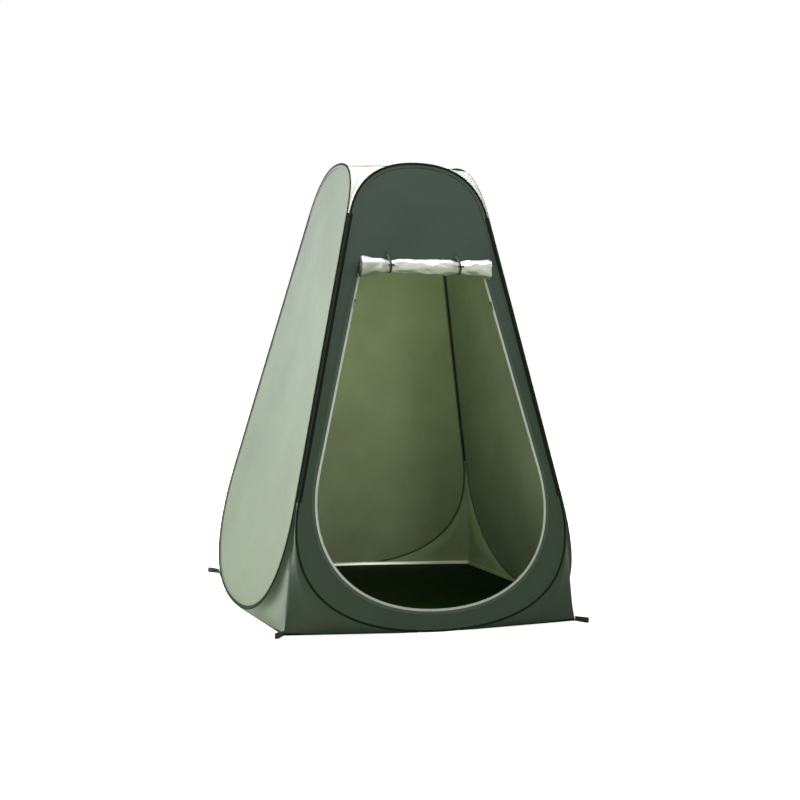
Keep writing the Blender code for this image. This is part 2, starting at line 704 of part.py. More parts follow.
def slider_pieces(side_name, side, slider_empty, tab_empty):
    """A zip slider that holds the teeth, with a bridge, and the pull tab that hangs from the bridge."""
    frame = slider_frame(side)
    inner = TEETH_THICKNESS / 2 + SLIDER_PLAY
    outer = inner + SLIDER_PLATE
    near = -TEETH_WIDTH / 2 - CLEAR - SLIDER_PLAY
    lip = near - SLIDER_LIP
    slot = ZIP_TAPE_THICKNESS / 2 + SLIDER_PLAY
    far = TEETH_WIDTH / 2 + SLIDER_PLAY
    back = far + SLIDER_BACK
    profile = [
        (lip, -outer), (back, -outer), (back, outer), (lip, outer), (lip, slot), (near, slot),
        (near, inner), (far, inner), (far, -inner), (near, -inner), (near, -slot), (lip, -slot),
    ]
    turned = Matrix(((0, 0, 1, 0), (1, 0, 0, 0), (0, 1, 0, 0), (0, 0, 0, 1)))
    body = prism(profile, turned, -SLIDER_LENGTH / 2, SLIDER_LENGTH / 2)
    slider = add_object(f"zip_slider_{side_name}", body, "slider metal", SPRING_STEEL, frame, slider_empty)

    foot = outer - SLIDER_PLATE / 4
    crown = outer + BRIDGE_RISE
    bar_level = bar_height()
    window_half = (crown - BRIDGE_BAR - outer) / 2 - CLEAR
    rim = [(-BRIDGE_FOOT, foot), (BRIDGE_FOOT, foot), (BRIDGE_TOP, crown), (-BRIDGE_TOP, crown)]
    hole_reach = BRIDGE_TOP - BRIDGE_BAR
    hole = [
        (-hole_reach, bar_level - window_half), (hole_reach, bar_level - window_half),
        (hole_reach, bar_level + window_half), (-hole_reach, bar_level + window_half),
    ]
    bridge_mesh = plate([rim, hole], -BRIDGE_THICKNESS / 2, BRIDGE_THICKNESS / 2)
    upright = Matrix(((1, 0, 0, 0), (0, 0, -1, 0), (0, 1, 0, 0), (0, 0, 0, 1)))
    bridge = add_object(f"bridge_shape_{side_name}", bridge_mesh, "slider metal", SPRING_STEEL, frame @ upright)
    bridge.hide_render = True
    bridge.display_type = "WIRE"
    union = slider.modifiers.new("bridge", "BOOLEAN")
    union.operation = "UNION"
    union.object = bridge

    half = TAB_WIDTH / 2
    bar = TAB_BAR / 2
    edge = [(-TAB_LENGTH, -half + bar), (-TAB_LENGTH + bar, -half), (bar, -half), (bar, half)]
    edge += [(-TAB_LENGTH + bar, half), (-TAB_LENGTH, half - bar)]
    gap = BRIDGE_THICKNESS / 2 + TAB_PLAY
    window = [(-bar - TAB_WINDOW, -gap), (-bar, -gap), (-bar, gap), (-bar - TAB_WINDOW, gap)]
    tab = plate([edge, window], -TAB_THICKNESS / 2, TAB_THICKNESS / 2)
    hung = frame @ Matrix.Translation((0, 0, bar_level)) @ Matrix.Rotation(-TAB_HANG, 4, "Y")
    add_object(f"zip_pull_{side_name}", tab, "slider metal", SPRING_STEEL, hung, tab_empty)


def bar_height():
    """How high the pull tab's bar lies over the middle of the teeth."""
    outer = TEETH_THICKNESS / 2 + SLIDER_PLAY + SLIDER_PLATE
    return outer + (BRIDGE_RISE - BRIDGE_BAR) / 2


def roll_radius(x):
    """The roll's radius along its length: drawn in at the ties, and wider at its loose ends."""
    distance = abs(x) - TIE_PLACE
    pinch = PINCH_DEPTH * math.exp(-((distance / PINCH_WIDTH) ** 2))
    share = max(0, (abs(x) - FLARE_START) / (ROLL_HALF_LENGTH - FLARE_START))
    return ROLL_RADIUS - pinch + FLARE * share * share * (3 - 2 * share)


def roll_section(x):
    """Points round the rolled flap at one place along it, as (outwards, up the slope).

    The flap's sewn top lies on the wall. From there it goes down behind the roll, under it and
    round to the front, and on inwards as a spiral.
    """
    radius = roll_radius(x)
    outer_face = CLOTH_THICKNESS / 2 + CLEAR
    hem_level = outer_face + FLAP_HEM_THICKNESS / 2
    centre = Vector((hem_level + radius, ROLL_TOP - radius))
    line = [Vector((hem_level, FLAP_HEM_TOP)), Vector((hem_level, centre.y + radius / 2))]
    thickness = [FLAP_HEM_THICKNESS, FLAP_HEM_THICKNESS]
    steps = round(ROLL_TURNS * ROLL_POINTS_PER_TURN)
    for step in range(steps + 1):
        turn = step / ROLL_POINTS_PER_TURN
        angle = math.pi + 2 * math.pi * turn
        reach = radius - ROLL_PITCH * turn
        line.append(centre + reach * Vector((math.cos(angle), math.sin(angle))))
        share = min(1, turn * 4)
        thickness.append(FLAP_HEM_THICKNESS + (ROLL_LAYER - FLAP_HEM_THICKNESS) * share)
    normals = path_normals(line, closed=False)
    left = [point + normal * wide / 2 for point, normal, wide in zip(line, normals, thickness)]
    right = [point - normal * wide / 2 for point, normal, wide in zip(line, normals, thickness)]
    return left + right[::-1]


def roll_stations():
    """Places along the roll, closer together at the ties and the flared ends."""
    half = [0.03, 0.09, TIE_PLACE - PINCH_WIDTH, TIE_PLACE, TIE_PLACE + PINCH_WIDTH, FLARE_START]
    half += [FLARE_START + (ROLL_HALF_LENGTH - FLARE_START) * share for share in (0.4, 0.7, 1.0)]
    return [-x for x in reversed(half)] + half


def roll_piece():
    """The door flap, rolled up outwards over the doorway."""
    rings = []
    for x in roll_stations():
        rings.append([Vector((x, point.y, EDGE_OFFSET + point.x)) for point in roll_section(x)])
    add_object("door_roll", loft(rings), "silver cloth", SILVER, wall_frame("front"), None, 40)


def tie_path():
    """The line of a tie: sewn above the roll, over its front and under it, and up inside the wall."""
    radius = roll_radius(TIE_PLACE + TIE_WIDTH / 2)
    hem_level = CLOTH_THICKNESS / 2 + CLEAR + FLAP_HEM_THICKNESS / 2
    centre = Vector((hem_level + radius, ROLL_TOP - radius))
    reach = radius + ROLL_LAYER / 2 + CLEAR + TIE_THICKNESS / 2
    outside = CLOTH_THICKNESS / 2 + CLEAR + TIE_THICKNESS / 2
    patch_low = Vector((outside, TIE_PATCH_LOW))
    towards = patch_low - centre
    start = math.atan2(towards.y, towards.x) - math.acos(reach / towards.length)
    end = -math.radians(150)
    steps = 14
    line = [Vector((outside, TIE_TOP)), patch_low]
    for step in range(steps + 1):
        angle = start + (end - start) * step / steps
        line.append(centre + reach * Vector((math.cos(angle), math.sin(angle))))
    line += [Vector((-outside, line[-1].y + 0.012)), Vector((-outside, TIE_INNER_TOP))]
    return line, centre, reach


def tie_pieces(side_name, side, toggle_empty):
    """A tie band round the roll, and the toggle that closes it on the front."""
    line, centre, reach = tie_path()
    normals = path_normals(line, closed=False)
    half = TIE_THICKNESS / 2
    rings = []
    for point, normal in zip(line, normals):
        ring = []
        for edge, face in ((-1, -1), (1, -1), (1, 1), (-1, 1)):
            place = point + normal * face * half
            ring.append(Vector((side * TIE_PLACE + edge * TIE_WIDTH / 2, place.y, EDGE_OFFSET + place.x)))
        rings.append(ring)
    frame = wall_frame("front")
    add_object(f"tie_band_{side_name}", loft(rings), "webbing", WEBBING, frame)

    middle = toggle_centre(side)
    along = Vector((TOGGLE_LENGTH / 2, 0, 0))
    radii = (TOGGLE_RADIUS * 0.75, TOGGLE_RADIUS, TOGGLE_RADIUS, TOGGLE_WAIST, TOGGLE_WAIST)
    radii += (TOGGLE_RADIUS, TOGGLE_RADIUS, TOGGLE_RADIUS * 0.75)
    toggle = rod(middle - along, middle + along, radii, TOGGLE_SIDES)
    add_object(f"tie_toggle_{side_name}", toggle, "toggle plastic", BLACK_NYLON, frame, toggle_empty, 40)


def toggle_centre(side):
    """The middle of a toggle, on the front of its tie band, in the front wall's frame."""
    line, centre, reach = tie_path()
    level = EDGE_OFFSET + centre.x + reach + TIE_THICKNESS / 2 + CLEAR + TOGGLE_RADIUS
    return Vector((side * TIE_PLACE, centre.y, level))


def peg_loop_outline():
    """A webbing loop seen from above, as (away from the corner, sideways), outer edge."""
    nose = PEG_LOOP_LENGTH - PEG_LOOP_HALF_WIDTH
    points = [Vector((PEG_LOOP_GAP, -PEG_WEBBING_THICKNESS - CLEAR))]
    points.append(Vector((PEG_LOOP_GAP + PEG_LOOP_HALF_WIDTH, -PEG_WEBBING_THICKNESS - CLEAR)))
    for step in range(PEG_NOSE_STEPS + 1):
        angle = -math.pi / 2 + math.pi * step / PEG_NOSE_STEPS
        points.append(Vector((nose, 0)) + PEG_LOOP_HALF_WIDTH * Vector((math.cos(angle), math.sin(angle))))
    points.append(Vector((PEG_LOOP_GAP + PEG_LOOP_HALF_WIDTH, PEG_WEBBING_THICKNESS + CLEAR)))
    points.append(Vector((PEG_LOOP_GAP, PEG_WEBBING_THICKNESS + CLEAR)))
    return points


def peg_corner(side_x, side_y):
    """The corner of the hem that a peg loop is sewn to."""
    return Vector((side_x * HEM_HALF_WIDTH, side_y * HEM_HALF_WIDTH, 0))


def peg_loop(name, side_x, side_y, parent):
    """A peg loop that stands on its edge and points away from the tent."""
    outer = peg_loop_outline()
    inner = offset_path(outer, PEG_WEBBING_THICKNESS, closed=False)
    outline = outer + inner[::-1]
    turn = Matrix.Rotation(math.atan2(side_y, side_x), 4, "Z")
    frame = Matrix.Translation(peg_corner(side_x, side_y)) @ turn
    loop = prism(outline, Matrix.Identity(4), PEG_LOOP_LIFT, PEG_LOOP_LIFT + PEG_WEBBING_HEIGHT)
    add_object(name, loop, "webbing", WEBBING, frame, parent, 40)


def hinge_foot(side_x, side_y):
    """Where a corner's hinge line reaches the lower end of its seam."""
    half = hinge_half_width(LOWER_SPLIT)
    return Vector((side_x * half, side_y * half, LOWER_SPLIT * COS_LEAN))


def main():
    for item in list(bpy.data.objects):
        bpy.data.objects.remove(item)

    parents = {"front": None}
    parents["left"] = add_empty("left_wall_hinge", hinge_foot(-1, -1))
    parents["right"] = add_empty("right_wall_hinge", hinge_foot(1, -1))
    parents["back"] = add_empty("back_wall_hinge", hinge_foot(-1, 1))
    for wall in TURNS:
        wall_pieces(wall, parents[wall])

    seam_cord("seam_cord_front_left", "front", -1, None)
    seam_cord("seam_cord_front_right", "front", 1, None)
    seam_cord("seam_cord_back_left", "left", -1, parents["left"])
    seam_cord("seam_cord_back_right", "right", 1, parents["right"])

    lower_edge = gusset_edge(slope_at(HEM_LIFT), LOWER_GUSSET_TOP)
    upper_edge = gusset_edge(UPPER_GUSSET_BOTTOM, slope_at(ROOF_LEVEL - CLEAR - GUSSET_THICKNESS / 2))
    corners = (
        ("front_right", "front", "right", None),
        ("front_left", "left", "front", None),
        ("back_left", "back", "left", parents["left"]),
    )
    for corner, first, second, parent in corners:
        lower = gusset_grid(lower_edge, lower_crease, first, second)
        gusset(f"lower_gusset_{corner}", lower, "wall cloth", CLOTH_GREEN, parent)
        upper = gusset_grid(upper_edge, upper_crease, first, second)
        gusset(f"upper_gusset_{corner}", upper, "silver cloth", SILVER, parent)
    for level, edge, crease, finish_name, finish in (
        ("lower", lower_edge, lower_crease, "wall cloth", CLOTH_GREEN),
        ("upper", upper_edge, upper_crease, "silver cloth", SILVER),
    ):
        first, second = halves_of(gusset_grid(edge, crease, "right", "back"))
        gusset(f"{level}_gusset_back_right_side", first, finish_name, finish, parents["right"])
        gusset(f"{level}_gusset_back_right_rear", second, finish_name, finish, parents["back"])

    roof_pieces()
    floor_pieces()
    zip_pieces()
    roll_piece()
    for side_name, side in (("left", -1), ("right", 1)):
        frame = slider_frame(side)
        slider_empty = add_empty(f"zip_slider_axis_{side_name}", frame.translation)
        tab_empty = add_empty(f"zip_pull_axis_{side_name}", frame @ Vector((0, 0, bar_height())))
        slider_pieces(side_name, side, slider_empty, tab_empty)
        toggle_place = wall_frame("front") @ toggle_centre(side)
        tie_pieces(side_name, side, add_empty(f"tie_toggle_axis_{side_name}", toggle_place))

    for side_x, side_y, corner in ((-1, -1, "front_left"), (1, -1, "front_right"), (1, 1, "back_right"), (-1, 1, "back_left")):
        hinge = add_empty(f"peg_loop_axis_{corner}", peg_corner(side_x, side_y))
        peg_loop(f"peg_loop_{corner}", side_x, side_y, hinge)


main()
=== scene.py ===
"""The looks of a pop-up privacy tent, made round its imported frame.

Every cloth, tape, webbing and thread is modelled here over the solid that it stands for. The steel
hoops, the zip's sliders and their pull tabs keep their solids and get a finish.

World: +Z up, the front wall faces -Y. Wall: x across, u up its slope, n outwards. Metres.
"""

import bisect
import math

import bmesh
import bpy
from bpy.props import FloatProperty, FloatVectorProperty, PointerProperty
from mathutils import Matrix, Vector, geometry, noise


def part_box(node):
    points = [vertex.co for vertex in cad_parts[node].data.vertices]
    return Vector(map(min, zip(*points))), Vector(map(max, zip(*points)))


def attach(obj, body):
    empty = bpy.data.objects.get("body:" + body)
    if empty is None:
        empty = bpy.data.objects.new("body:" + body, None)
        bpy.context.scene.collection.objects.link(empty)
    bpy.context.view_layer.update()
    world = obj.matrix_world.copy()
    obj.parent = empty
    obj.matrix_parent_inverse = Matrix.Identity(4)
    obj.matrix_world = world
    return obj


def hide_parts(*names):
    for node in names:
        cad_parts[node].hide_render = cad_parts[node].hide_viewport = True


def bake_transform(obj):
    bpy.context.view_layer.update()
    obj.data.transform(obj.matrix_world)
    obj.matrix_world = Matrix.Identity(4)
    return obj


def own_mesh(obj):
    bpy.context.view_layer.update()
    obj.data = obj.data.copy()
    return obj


bl_info = {
    "name": "Privacy Tent",
    "version": (1, 0, 0),
    "blender": (4, 5, 0),
    "location": "3D View > Sidebar > Tent",
    "description": "Cloth, tapes, zip, rolled door and stage of a pop-up privacy tent",
    "category": "Object",
}

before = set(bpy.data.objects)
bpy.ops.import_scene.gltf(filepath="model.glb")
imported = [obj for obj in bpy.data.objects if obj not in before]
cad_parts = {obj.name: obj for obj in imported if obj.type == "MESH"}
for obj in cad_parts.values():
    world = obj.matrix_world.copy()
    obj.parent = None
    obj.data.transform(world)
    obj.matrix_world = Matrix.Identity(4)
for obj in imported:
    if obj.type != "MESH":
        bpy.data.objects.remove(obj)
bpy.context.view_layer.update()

# The walls' lean, the sleeves with their lips, the cloth, and what is sewn to it
LEAN = math.radians(12.8)
FOOT_OFFSET = 0.68
HEM_HALF_WIDTH = 0.622
EDGE_OFFSET = 0.00495
EDGE_STRETCH = math.sqrt(1 + math.sin(LEAN) ** 2)
SLEEVE_RADIUS = 0.0048
CHANNEL_RADIUS = 0.0037
SLEEVE_LIP = 0.012
LIP_INNER = 0.0008
LIP_OUTER = 0.0018
LIP_HEM = 0.003
CLOTH_THICKNESS = 0.001
CLOTH_INSET = 0.0042
PIPING_RADIUS = 0.0023
SEWN_GAP = 0.0003
LINED_BELOW_ROOF = 0.004
STITCH_SHARE = 0.72

# A distance that counts as none
TINY = 1e-6

# Slack of the walls: how far in from its edges the cloth is held or puckered, and its height
HOLD_REACH = 0.09
PUCKER_REACH = 0.03
SEAM_REACH = 0.012
WALL_HOLLOW = 0.001
DOOR_HEM = 0.02
DOOR_CALM = 0.05
WALL_REACH = 1.85

# Outline of a hoop, up the slope of its wall
FOOT_CENTRE = 0.0036
ARCH_CENTRE = 1.9219
LOWER_SPLIT = 0.53
UPPER_SPLIT = 1.6999
FOOT_SIDE_HANDLE = 0.36
FOOT_BOTTOM_HANDLE = 0.42
ARCH_SIDE_HANDLE = 0.15
ARCH_TOP_HANDLE = 0.17
FOOT_BEND = 0.50
ARCH_BEND = 0.20

# Doorway and zip
DOOR_BOTTOM = 0.079
DOOR_TOP = 1.49
DOOR_TOP_HALF = 0.2675
DOOR_SPLIT = 0.65
DOOR_SPLIT_HALF = 0.4758
DOOR_SIDE_HANDLE = 0.33
DOOR_BOTTOM_HANDLE = 0.384
DOOR_BEND = 0.46
ZIP_ON_CLOTH = 0.012
ZIP_FREE = 0.008
ZIP_TAPE_THICKNESS = 0.0008
ZIP_TOP_GAP = 0.040
TEETH_WIDTH = 0.004
TEETH_THICKNESS = 0.0026
TEETH_PITCH = 0.0032
TOOTH_SHARE = 0.62
TOOTH_EDGE = 0.0006
TEETH_LAP = 0.0004
ZIP_RIPPLE = 0.0002
ZIP_STITCHES = {"outer": 0.0095, "inner": 0.003}

# Rolled door, its ties and toggles
ROLL_HALF_LENGTH = 0.281
ROLL_DROP = 0.007
ROLL_RADIUS = 0.0312
ROLL_TOP = 1.517
ROLL_PITCH = 0.0023
ROLL_TURNS = 12.2
ROLL_STEPS = 30
ROLL_COLUMNS = 96
ROLL_LEAD = 4
ROLL_CLOTH = 0.0009
ROLL_GAP = 0.0008
ROLL_END_ROOM = 0.004
ROLL_REST = 0.0002
FLAP_HEM_TOP = 1.512
FLAP_TOP_SHARE = 0.94
FLARE_DROOP = 0.6
MIDDLE_DROOP = 0.002
PINCH_DEPTH = 0.007
PINCH_WIDTH = 0.026
FLARE = 0.0095
FLARE_START = 0.20
LOOSE_REACH = 0.08
ROLL_SHIFT = 0.005
TIE_GRIP = 0.022
GATHER_REACH = 0.045
TIE_PLACE = 0.150
TIE_WIDTH = 0.015
TIE_THICKNESS = 0.0012
TIE_TOP = 1.550
TIE_PATCH_LOW = 1.531
TIE_INNER_TOP = 1.530
TIE_END = math.radians(-150)
TIE_TURN_UP = 0.012
TIE_ROOM = 0.0004
TIE_NARROWS = 0.4
TIE_GATHERED = 0.012
TOGGLE_LENGTH = 0.024
TOGGLE_RADIUS = 0.0045
TOGGLE_WAIST = 0.0033
TOGGLE_GAP = 0.0009

# Gussets, roof, floor, hem and peg loops
SEAM_TO_GUSSET = 0.003
HEM_LIFT = 0.0028
UPPER_CREASE_SAG = 0.003
UPPER_FOLD = 0.007
UPPER_FOLD_SHARE = 0.30
LOWER_CREASE_GIVE = 0.007
FRONT_BULGE = 0.019
GUSSET_FAN = 0.0040
UPPER_FAN = 0.0012
CREASE_CROWDING = 1.5
ROOF_LEVEL = 1.8586
ROOF_SAG = 0.012
ROOF_WAVE = 0.0025
ROOF_BINDING_WIDTH = 0.012
ROOF_BINDING_THICKNESS = 0.0014
ROOF_BINDING_GAP = 0.0002
ROOF_BINDING_EDGE = 0.0004
FLOOR_LEVEL = 0.0015
FLOOR_HALF_FLAT = 0.15
FLOOR_INSET = 0.001
FLOOR_WAVE = 0.006
FLOOR_WAVE_REACH = 0.62
FLOOR_THICKNESS = 0.0009
RIM_HEIGHT = 0.016
RIM_THICKNESS = 0.002
RIM_SPREAD = 0.005
RIM_CORNER_INSET = 0.005
RIM_EDGE = 0.0007
HEM_TAPE_HEIGHT = 0.009
HEM_TAPE_THICKNESS = 0.0009
HEM_TAPE_DROP = 0.001
HEM_TAPE_GAP = 0.0011
HEM_TAPE_LEAN = 0.12
PEG_LOOP_LENGTH = 0.062
PEG_LOOP_HALF_WIDTH = 0.0075
PEG_WEBBING_HEIGHT = 0.020
PEG_WEBBING_THICKNESS = 0.0014
PEG_LOOP_LIFT = 0.0008
PEG_LOOP_GAP = 0.0017
PEG_SEWN = 0.006
PEG_NOSE_ROOM = 0.016
PEG_LAYER_ROOM = 0.0004

# Cloth that the sheets are cut from, as width and length
GUSSET_CUTS = {"lower": (0.66, 0.53), "upper": (0.24, 0.18)}

# Fineness of the meshes
FOOT_STEPS = 50
SIDE_STEPS = 140
ARCH_STEPS = 40
GUIDE_STEPS = 400
WALL_GRID = (44, 84)
FRONT_STEPS = (14, 66, 14)
FRONT_ROWS = 12
DOOR_TOP_STEPS = 10
SLEEVE_STEPS = 620
SLEEVE_ARC_STEPS = 14
CHANNEL_ARC_STEPS = 8
LIP_POINTS = 3
SLEEVE_GIRTH = 0.06
STITCH_STEPS = 500
PIPING_GRID = (10, 260)
GUSSET_COLUMNS = 32
GUSSET_ROWS = {"lower": 48, "upper": 30}
HEM_COLUMNS = 40
ROOF_COUNT = 40
FLOOR_COUNT = 64
ZIP_STEPS = 220
ZIP_GRID = (6, 420)
TIE_STEPS = 32
TIE_GRID = (4, 70)
PEG_SIDE_STEPS = 8
PEG_NOSE_STEPS = 14
PEG_GRID = (6, 60)

# Where the noise of each piece starts
WALL_SEEDS = {"front": 3.7, "right": 17.3, "back": 24.3, "left": 31.3}
GUSSET_SEEDS = {"front_right": 20.5, "front_left": 29.5, "back_left": 38.5, "back_right": 47.5}

# The whole width of a gusset, as the shares where it starts and ends
WHOLE = (0.0, 1.0)

# Parts of the lean
SIN_LEAN = math.sin(LEAN)
COS_LEAN = math.cos(LEAN)
TAN_LEAN = math.tan(LEAN)

# The walls by their quarter turns, and what is at the corners: the two walls that a gusset joins, a
# seam with its wall and its side there, and a peg loop with its two sides
TURNS = {"front": 0, "right": 1, "back": 2, "left": 3}
BODIES = {wall: f"{wall}_wall" for wall in TURNS}
CORNERS = (
    ("front_right", "front", "right"),
    ("front_left", "left", "front"),
    ("back_left", "back", "left"),
    ("back_right", "right", "back"),
)
SEAMS = (
    ("front_left", "front", -1),
    ("front_right", "front", 1),
    ("back_left", "left", -1),
    ("back_right", "right", 1),
)
PEGS = (("front_left", -1, -1), ("front_right", 1, -1), ("back_left", -1, 1), ("back_right", 1, 1))

# Tones and textures of the finishes. A painted low shade multiplies a colour low down, as painted shade, and
# its range is in heights
WHITE = (1.0, 1.0, 1.0, 1.0)
# Painted shade with a warm tint of bounce light, low on the walls' outside
WALL_PAINTED_SHADE = (0.84, 0.90, 0.72, 1.0)
# Painted shade on the front wall's outside: darker and more olive low down, over the heights below
FRONT_PAINTED_SHADE = (0.65, 0.80, 0.52, 1.0)
FRONT_SHADE_HEIGHTS = (0.85, 1.42)
# Painted shade over the lower half of the rolled door's silver lining, over the heights below
LINING_PAINTED_SHADE = (0.50, 0.57, 0.50, 1.0)
LINING_SHADE_HEIGHTS = (1.405, 1.475)
ZIP_TONES_MEET = (0.0055, 0.0065)
WAVE_SCALE = 0.314
SLUB_STRETCH = 12.0
CRINKLE_HEIGHT = 14.0
THREAD_RELIEF = 0.00025

# Reach of the stage's floor from its middle
GROUND_HALF = 60.0

# Sockets of a Mix node for colours
MIX_SHARE = 0
MIX_FIRST = 6
MIX_SECOND = 7
MIX_RESULT = 2


def length_property(name, description, default):
    """A property for a small length."""
    return FloatProperty(name=name, description=description, default=default, unit="LENGTH", precision=4)


def colour_property(name, description, default):
    """A property for a colour."""
    return FloatVectorProperty(name=name, description=description, default=default, subtype="COLOR")


def angle_property(name, description, degrees):
    """A property for an angle."""
    return FloatProperty(name=name, description=description, default=math.radians(degrees), subtype="ANGLE")


class TentCloth(bpy.types.PropertyGroup):
    """How slack the tent's cloth is, and its thread."""

    slack: length_property("Slack", "Depth of the broad waves in a wall", 0.0045)
    pucker: length_property("Pucker", "Depth of the small puckers along a sewn edge", 0.0009)
    crease: FloatProperty(
        name="Crease", description="Share of a gusset's half that its rounded crease takes", default=0.09
    )
    gusset_sag: length_property("Gusset Sag", "How far a gusset draws inwards between its edges", 0.027)
    crumple: length_property("Crumple", "Depth of the folds in the rolled door", 0.0056)
    stitch: length_property("Stitch", "Length of one stitch and the gap after it", 0.0050)
    thread: length_property("Thread", "Thickness of the sewing thread", 0.0007)


class TentColours(bpy.types.PropertyGroup):
    """The colours of the tent's materials."""

    outer: colour_property("Outer Cloth", "Green outside of the walls", (0.034, 0.055, 0.044))
    inner: colour_property("Inner Coating", "Olive inside of the walls", (0.49, 0.59, 0.34))
    # Painted shade: a darker, bluer copy of the inner coating for the right wall's inside
    inner_right_shaded: colour_property("Right Inner Coating Painted Shade", "Olive inside of the right wall", (0.37, 0.45, 0.31))
    # Near black: the tape's own dark colour, darkened further as painted shade so its lit sides and the
    # recesses by the sleeves read dark
    tape: colour_property("Edge Tape", "Sleeves, piping and hem", (0.007, 0.012, 0.008))
    inner_tape: colour_property("Inner Edge Tape", "Sleeves where they show inside", (0.13, 0.16, 0.10))
    silver: colour_property("Silver Cloth", "Roof and upper corners", (0.72, 0.75, 0.70))
    lining: colour_property("Door Lining", "Silver inside of the rolled door", (0.72, 0.75, 0.70))
    floor: colour_property("Groundsheet", "Dark coated floor", (0.004, 0.018, 0.001))
    rim: colour_property("Floor Rim", "Bound edge round the floor", (0.85, 0.88, 0.66))
    zip_tape: colour_property("Zip Tape", "Woven tape of the zip", (0.42, 0.47, 0.40))
    teeth: colour_property("Zip Teeth", "Moulded teeth of the zip", (0.56, 0.61, 0.54))
    thread: colour_property("Thread", "Sewing thread", (0.044, 0.068, 0.053))
    webbing: colour_property("Webbing", "Peg loops", (0.012, 0.020, 0.014))
    tie: colour_property("Tie", "Bands round the rolled door", (0.030, 0.048, 0.037))
    metal: colour_property("Metal", "Sliders and pull tabs", (0.14, 0.15, 0.14))
    steel: colour_property("Spring Steel", "The hoops' wire", (0.42, 0.43, 0.43))
    toggle: colour_property("Toggle", "Plastic of the toggles", (0.012, 0.014, 0.012))
    ground: colour_property("Ground", "The pale floor under the tent", (0.55, 0.57, 0.46))


class TentStage(bpy.types.PropertyGroup):
    """The camera, the lights and the floor that the tent stands on."""

    camera_place: FloatVectorProperty(
        name="Camera", description="Where the camera stands", subtype="XYZ", default=(-2.092, -6.421, 1.465)
    )
    yaw: angle_property("Yaw", "Turn of the camera to the right", 18.35)
    pitch: angle_property("Pitch", "Tilt of the camera upwards", -5.05)
    roll: angle_property("Roll", "Lean of the camera", 1.50)
    lens: FloatProperty(name="Lens", description="Focal length on a 36 mm sensor", default=69.9)
    sky: FloatProperty(name="Sky", description="Light that the surroundings give", default=0.55)
    ground_glow: FloatProperty(
        name="Ground Glow", description="Lift of the ground towards white in the picture", default=0.75
    )
    key: FloatProperty(name="Key Light", description="Power of the large light on the left", default=1110.0)
    fill: FloatProperty(name="Fill Light", description="Power of the light before the doorway", default=38.0)
    top: FloatProperty(name="Top Light", description="Power of the light overhead", default=106.0)


class Line:
    """A line of points that gives its place at a distance or at a share of its length."""

    def __init__(self, points):
        self.points = [Vector((point[0], point[1], 0)) for point in points]
        self.marks = [0.0]
        for before, after in zip(self.points, self.points[1:]):
            self.marks.append(self.marks[-1] + (after - before).length)
        self.length = self.marks[-1]

    def at(self, distance):
        index = bisect.bisect_right(self.marks, distance) - 1
        index = min(max(index, 0), len(self.points) - 2)
        span = self.marks[index + 1] - self.marks[index]
        return self.points[index].lerp(self.points[index + 1], (distance - self.marks[index]) / span)

    def share(self, share):
        return self.at(share * self.length)

    def run(self, distance, reach=0.006):
        return (self.at(distance + reach) - self.at(distance - reach)).normalized()

    def part(self, start, end, steps=60):
        return [self.at(start + (end - start) * step / steps) for step in range(steps + 1)]

    def beside(self, distance, left):
        run = self.run(distance)
        return self.at(distance) + Vector((-run.y, run.x, 0)) * left


def wall_frame(wall):
    """The matrix that takes a wall's x, u and n to the world."""
    turn = Matrix.Rotation(math.radians(90 * TURNS[wall]), 4, "Z")
    tilt = Matrix.Rotation(math.pi / 2 - LEAN, 4, "X")
    return turn @ Matrix.Translation((0, -FOOT_OFFSET, 0)) @ tilt


def curve(start, first, second, end, steps=90):
    """Points of a curve with two handles."""
    corners = [Vector((point[0], point[1], 0)) for point in (start, first, second, end)]
    return geometry.interpolate_bezier(corners[0], corners[1], corners[2], corners[3], steps + 1)


def half_hoop():
    """The centre line of a hoop's right half, from the middle of its foot to the top of its arch."""
    slant = Vector((-SIN_LEAN, 1)).normalized()
    low = Vector((FOOT_OFFSET - SIN_LEAN * LOWER_SPLIT - EDGE_OFFSET * EDGE_STRETCH, LOWER_SPLIT))
    high = Vector((FOOT_OFFSET - SIN_LEAN * UPPER_SPLIT - EDGE_OFFSET * EDGE_STRETCH, UPPER_SPLIT))
    foot = Vector((0, FOOT_CENTRE))
    top = Vector((0, ARCH_CENTRE))
    lower = curve(foot, foot + Vector((FOOT_BOTTOM_HANDLE, 0)), low - slant * FOOT_SIDE_HANDLE, low)
    upper = curve(high, high + slant * ARCH_SIDE_HANDLE, top + Vector((ARCH_TOP_HANDLE, 0)), top)
    return Line(lower + upper)


def half_door():
    """The doorway's right half, from the middle of its bottom to the right end of its top."""
    spread = (DOOR_SPLIT_HALF - DOOR_TOP_HALF) / (DOOR_TOP - DOOR_SPLIT)
    slant = Vector((-spread, 1)).normalized()
    bottom = Vector((0, DOOR_BOTTOM))
    split = Vector((DOOR_SPLIT_HALF, DOOR_SPLIT))
    lower = curve(bottom, bottom + Vector((DOOR_BOTTOM_HANDLE, 0)), split - slant * DOOR_SIDE_HANDLE, split)
    return Line(lower + [Vector((DOOR_TOP_HALF, DOOR_TOP, 0))])


HOOP = half_hoop()
DOOR = half_door()


def mirrored(points):
    """The same points on the other side of the wall's middle, in reverse order."""
    return [Vector((-point.x, point.y, 0)) for point in reversed(points)]


def hoop_place(distance, inwards=0.0):
    """A point beside a whole hoop, which starts at the middle of its foot and goes right."""
    whole = 2 * HOOP.length
    distance %= whole
    if distance <= HOOP.length:
        return HOOP.beside(distance, inwards)
    point = HOOP.beside(whole - distance, inwards)
    return Vector((-point.x, point.y, 0))


def smooth(share):
    """An even rise from 0 to 1 that starts and ends gently."""
    share = min(1.0, max(0.0, share))
    return share * share * (3 - 2 * share)


def wave(*place):
    """Smooth noise between -1 and 1, always the same at a place."""
    return noise.noise(Vector(place))


